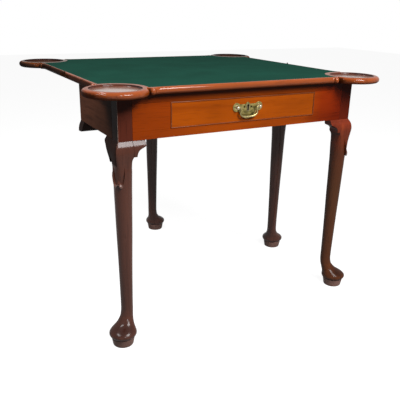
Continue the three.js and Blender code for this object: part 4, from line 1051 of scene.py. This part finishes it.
# %% Handle plate and posts
plate_low, plate_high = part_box("handle_plate")
post_low, post_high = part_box("right_handle_post")
bail_low, bail_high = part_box("handle_bail")
POST_X = (post_low.x + post_high.x) / 2
POST_Z = (post_low.z + post_high.z) / 2
BALL_RADIUS = 5.6 * MM
POST_Y = post_low.y + BALL_RADIUS
POST_RADIUS = 2.5 * MM
PLATE_BEVEL = 0.5 * MM
KEYHOLE_RISE = 3.4 * MM
KEYHOLE_SLOT = 14 * MM
KEYHOLE_RADIUS = 3.8 * MM
KEYHOLE_HALF = 2.5 * MM
RIM_WIDTH = 1.6 * MM
RIM_REACH = 1.2 * MM
SHADE_SHEET_THICKNESS = 0.5 * MM
SHADE_SHEET_GAP = 0.1 * MM
ARM_RADIUS = 2.2 * MM
PIT_X = 12 * MM
PIT_RADIUS = 2.6 * MM


def plate_outline():
    """The right half from the bottom of the shield up to the top of the boss, then its mirror image."""
    shield_drop, shield_rise = 33 * MM, 27 * MM
    ear, boss, boss_rise = 12.5 * MM, 7 * MM, 6 * MM
    half = arc(0, shield_rise - shield_drop, POST_X - boss, shield_rise, -0.5, -0.12, 14)
    half += arc(POST_X, 0, ear, ear, -0.7, 0.78, 30)
    half += arc(0, boss_rise, boss, boss, 0.09, 0.5, 10)
    return half + [(-x, z) for x, z in half[1:-1]][::-1]


def drawn_in(outline, inset):
    """The outline moved inward along the middle of its corners."""
    points = [Vector(p) for p in outline]
    moved = []
    for i, point in enumerate(points):
        before = (point - points[i - 1]).normalized()
        after = (points[(i + 1) % len(points)] - point).normalized()
        along = (before + after).normalized()
        moved.append(point + Vector((-along.y, along.x)) * inset)
    return [tuple(p) for p in moved]


def keyhole_ring(grow, y):
    """The outline of the keyhole, grown all round, from the foot of its slot."""
    radius, half, foot = KEYHOLE_RADIUS + grow, KEYHOLE_HALF + grow, -KEYHOLE_SLOT - grow
    turn = asin(half / radius) / pi
    outline = [(-half, foot), (half, foot)] + arc(0, 0, radius, radius, turn - 0.5, 1.5 - turn, 24)
    return [(x, y, POST_Z + KEYHOLE_RISE + z) for x, z in outline]


def keyhole_rim():
    back, front = plate_low.y, plate_low.y - RIM_REACH
    places = ((1, back), (0.7, front), (0.2, front), (0, back), (1, back))
    return loft("keyhole_rim", [keyhole_ring(share * RIM_WIDTH, y) for share, y in places], caps=False)


def plate_mesh():
    front = plate_low.y
    places = [(0, plate_high.y)] + [(inset * PLATE_BEVEL, front + back * PLATE_BEVEL)
                                    for inset, back in ((0, 1), (0.3, 0.3), (1, 0))]
    plate = loft("handle_plate_brass", [[(x, y, POST_Z + z) for x, z in drawn_in(plate_outline(), inset)]
                                        for inset, y in places])
    reaches = (-2 * PAST, 2 * PAST)
    cutters = [loft("keyhole", [keyhole_ring(0, front + reach) for reach in reaches])]
    for side in (-1, 1):
        place = Vector((side * POST_X, front, POST_Z))
        cutters.append(turned("post_hole", [(POST_RADIUS + FIT, reach) for reach in reaches], place, "Y", 24))
    carve(plate, cutters)
    return plate


dress(plate_mesh(), old_brass, "drawer", "brass", "handle_plate")
dress(keyhole_rim(), pale_brass, "drawer", "brass")
# A dark sheet at the back of the keyhole paints the shade deep inside it
depths = (plate_high.y - SHADE_SHEET_THICKNESS, plate_high.y - SHADE_SHEET_GAP)
dress(loft("keyhole_painted_shade", [keyhole_ring(-SHADE_SHEET_GAP, y) for y in depths]), painted_shade_dark, "drawer", "brass")
# Two dark discs beside the keyhole paint the shade of two small holes
for side in (-1, 1):
    pit = turned("plate_pit_painted_shade", [(PIT_RADIUS, -0.15 * MM), (PIT_RADIUS, 0)],
                 Vector((side * PIT_X, plate_low.y, POST_Z)), "Y", 24)
    dress(pit, painted_shade_dark, "drawer", "brass")


def post_mesh(name, x):
    """A ball with an eye for the bail, a collar on the plate, and a shank that goes through the drawer."""
    place = Vector((x, POST_Y, POST_Z))
    turns = np.linspace(0.2, 2.35, 14)
    profile = [(NEAR_AXIS, -BALL_RADIUS)]
    profile += [(BALL_RADIUS * sin(a), -BALL_RADIUS * cos(a)) for a in turns]
    seat = plate_low.y - FIT - POST_Y
    end = post_high.y - POST_Y
    profile += [(radius * MM, seat - rise * MM)
                for radius, rise in ((3.1, 1.6), (3.4, 1.2), (6.1, 0.9), (6.5, 0.5), (6.5, 0))]
    profile += [(POST_RADIUS, seat), (POST_RADIUS, end - 0.4 * MM), (2.1 * MM, end), (NEAR_AXIS, end)]
    made = turned(name, profile, place, "Y", 32)
    eye = [(ARM_RADIUS + 0.5 * MM, reach) for reach in (-3 * PAST, 3 * PAST)]
    carve(made, [turned("eye", eye, place, "X", 24)])
    return made


for side, x in (("left", -POST_X), ("right", POST_X)):
    dress(post_mesh(side + "_handle_post_brass", x), pale_brass, "drawer", "brass", side + "_handle_post")

# %% Bail
BOW_SHARES = [(1.02, 0), (0.96, -0.06), (0.95, -0.2), (1, -0.42), (0.97, -0.68), (0.75, -0.9), (0.4, -0.985),
              (0, -1)]
BOW_RADIUS = 2.9 * MM
BAIL_DROP = 27.5 * MM
HALF_SPAN = POST_X - 8.5 * MM


def curve_through(points, per_span):
    """A smooth line through points, by the rule of Catmull and Rom."""
    padded = [2 * points[0] - points[1]] + points + [2 * points[-1] - points[-2]]
    line = []
    for a, b, c, d in zip(padded, padded[1:], padded[2:], padded[3:]):
        for k in range(per_span):
            t = k / per_span
            line.append(0.5 * (2 * b + (c - a) * t + (2 * a - 5 * b + 4 * c - d) * t**2
                               + (3 * b - a - 3 * c + d) * t**3))
    return line + [points[-1]]


def bail_mesh():
    half = [Vector((x * HALF_SPAN, 0, z * BAIL_DROP)) for x, z in BOW_SHARES]
    bow = half + [Vector((-p.x, 0, p.z)) for p in half[-2::-1]]
    line = [Vector((bail_high.x, 0, 0))] + curve_through(bow, 8) + [Vector((bail_low.x, 0, 0))]
    rings = []
    for i, point in enumerate(line):
        along = (line[min(i + 1, len(line) - 1)] - line[max(i - 1, 0)]).normalized()
        side = along.cross(Vector((0, 1, 0)))
        low = smoothstep(0.55, 1, -point.z / BAIL_DROP)
        radius = ARM_RADIUS + (BOW_RADIUS - ARM_RADIUS) * low
        center = point + Vector((0, 0, (BOW_RADIUS - ARM_RADIUS) * low))
        rings.append([center + (side * cos(a) + Vector((0, 1, 0)) * sin(a)) * radius
                      for a in np.linspace(0, 2 * pi, 17)[:-1]])
    made = loft("handle_bail_brass", rings)
    made.data.transform(Matrix.Translation(Vector((0, POST_Y, POST_Z))))
    return made


dress(bail_mesh(), rubbed_brass, "bail", "brass", "handle_bail")

# %% [markdown]
# ## The floor
# The floor catches the table's soft shadow and throws light back up under the frame. Where it is seen, part
# of it glows, so that it meets the white background without an edge.

# %% Floor
FLOOR_HALF = 9.0
LIT_TONE = 0.12
SHADED_TONE = 0.25
GLOW = 0.93
floor_material, tree, _ = new_material("studio_floor")
tree.nodes.clear()
lit = put(tree, "BsdfDiffuse", Color=(*grey(LIT_TONE), 1))
shaded = put(tree, "BsdfDiffuse", Color=(*grey(SHADED_TONE), 1))
glow = put(tree, "Emission", Color=WHITE, Strength=GLOW)
both = put(tree, "AddShader", _0=shaded.outputs[0], _1=glow.outputs[0])
either = put(tree, "MixShader", _0=seen_rays(tree), _1=lit.outputs[0], _2=both.outputs[0])
put(tree, "OutputMaterial", Surface=either.outputs[0])
corners = [(x * FLOOR_HALF, y * FLOOR_HALF, 0) for x, y in ((-1, -1), (1, -1), (1, 1), (-1, 1))]
floor = make_mesh("studio_floor", corners, [(0, 1, 2, 3)])
floor.data.materials.append(floor_material)
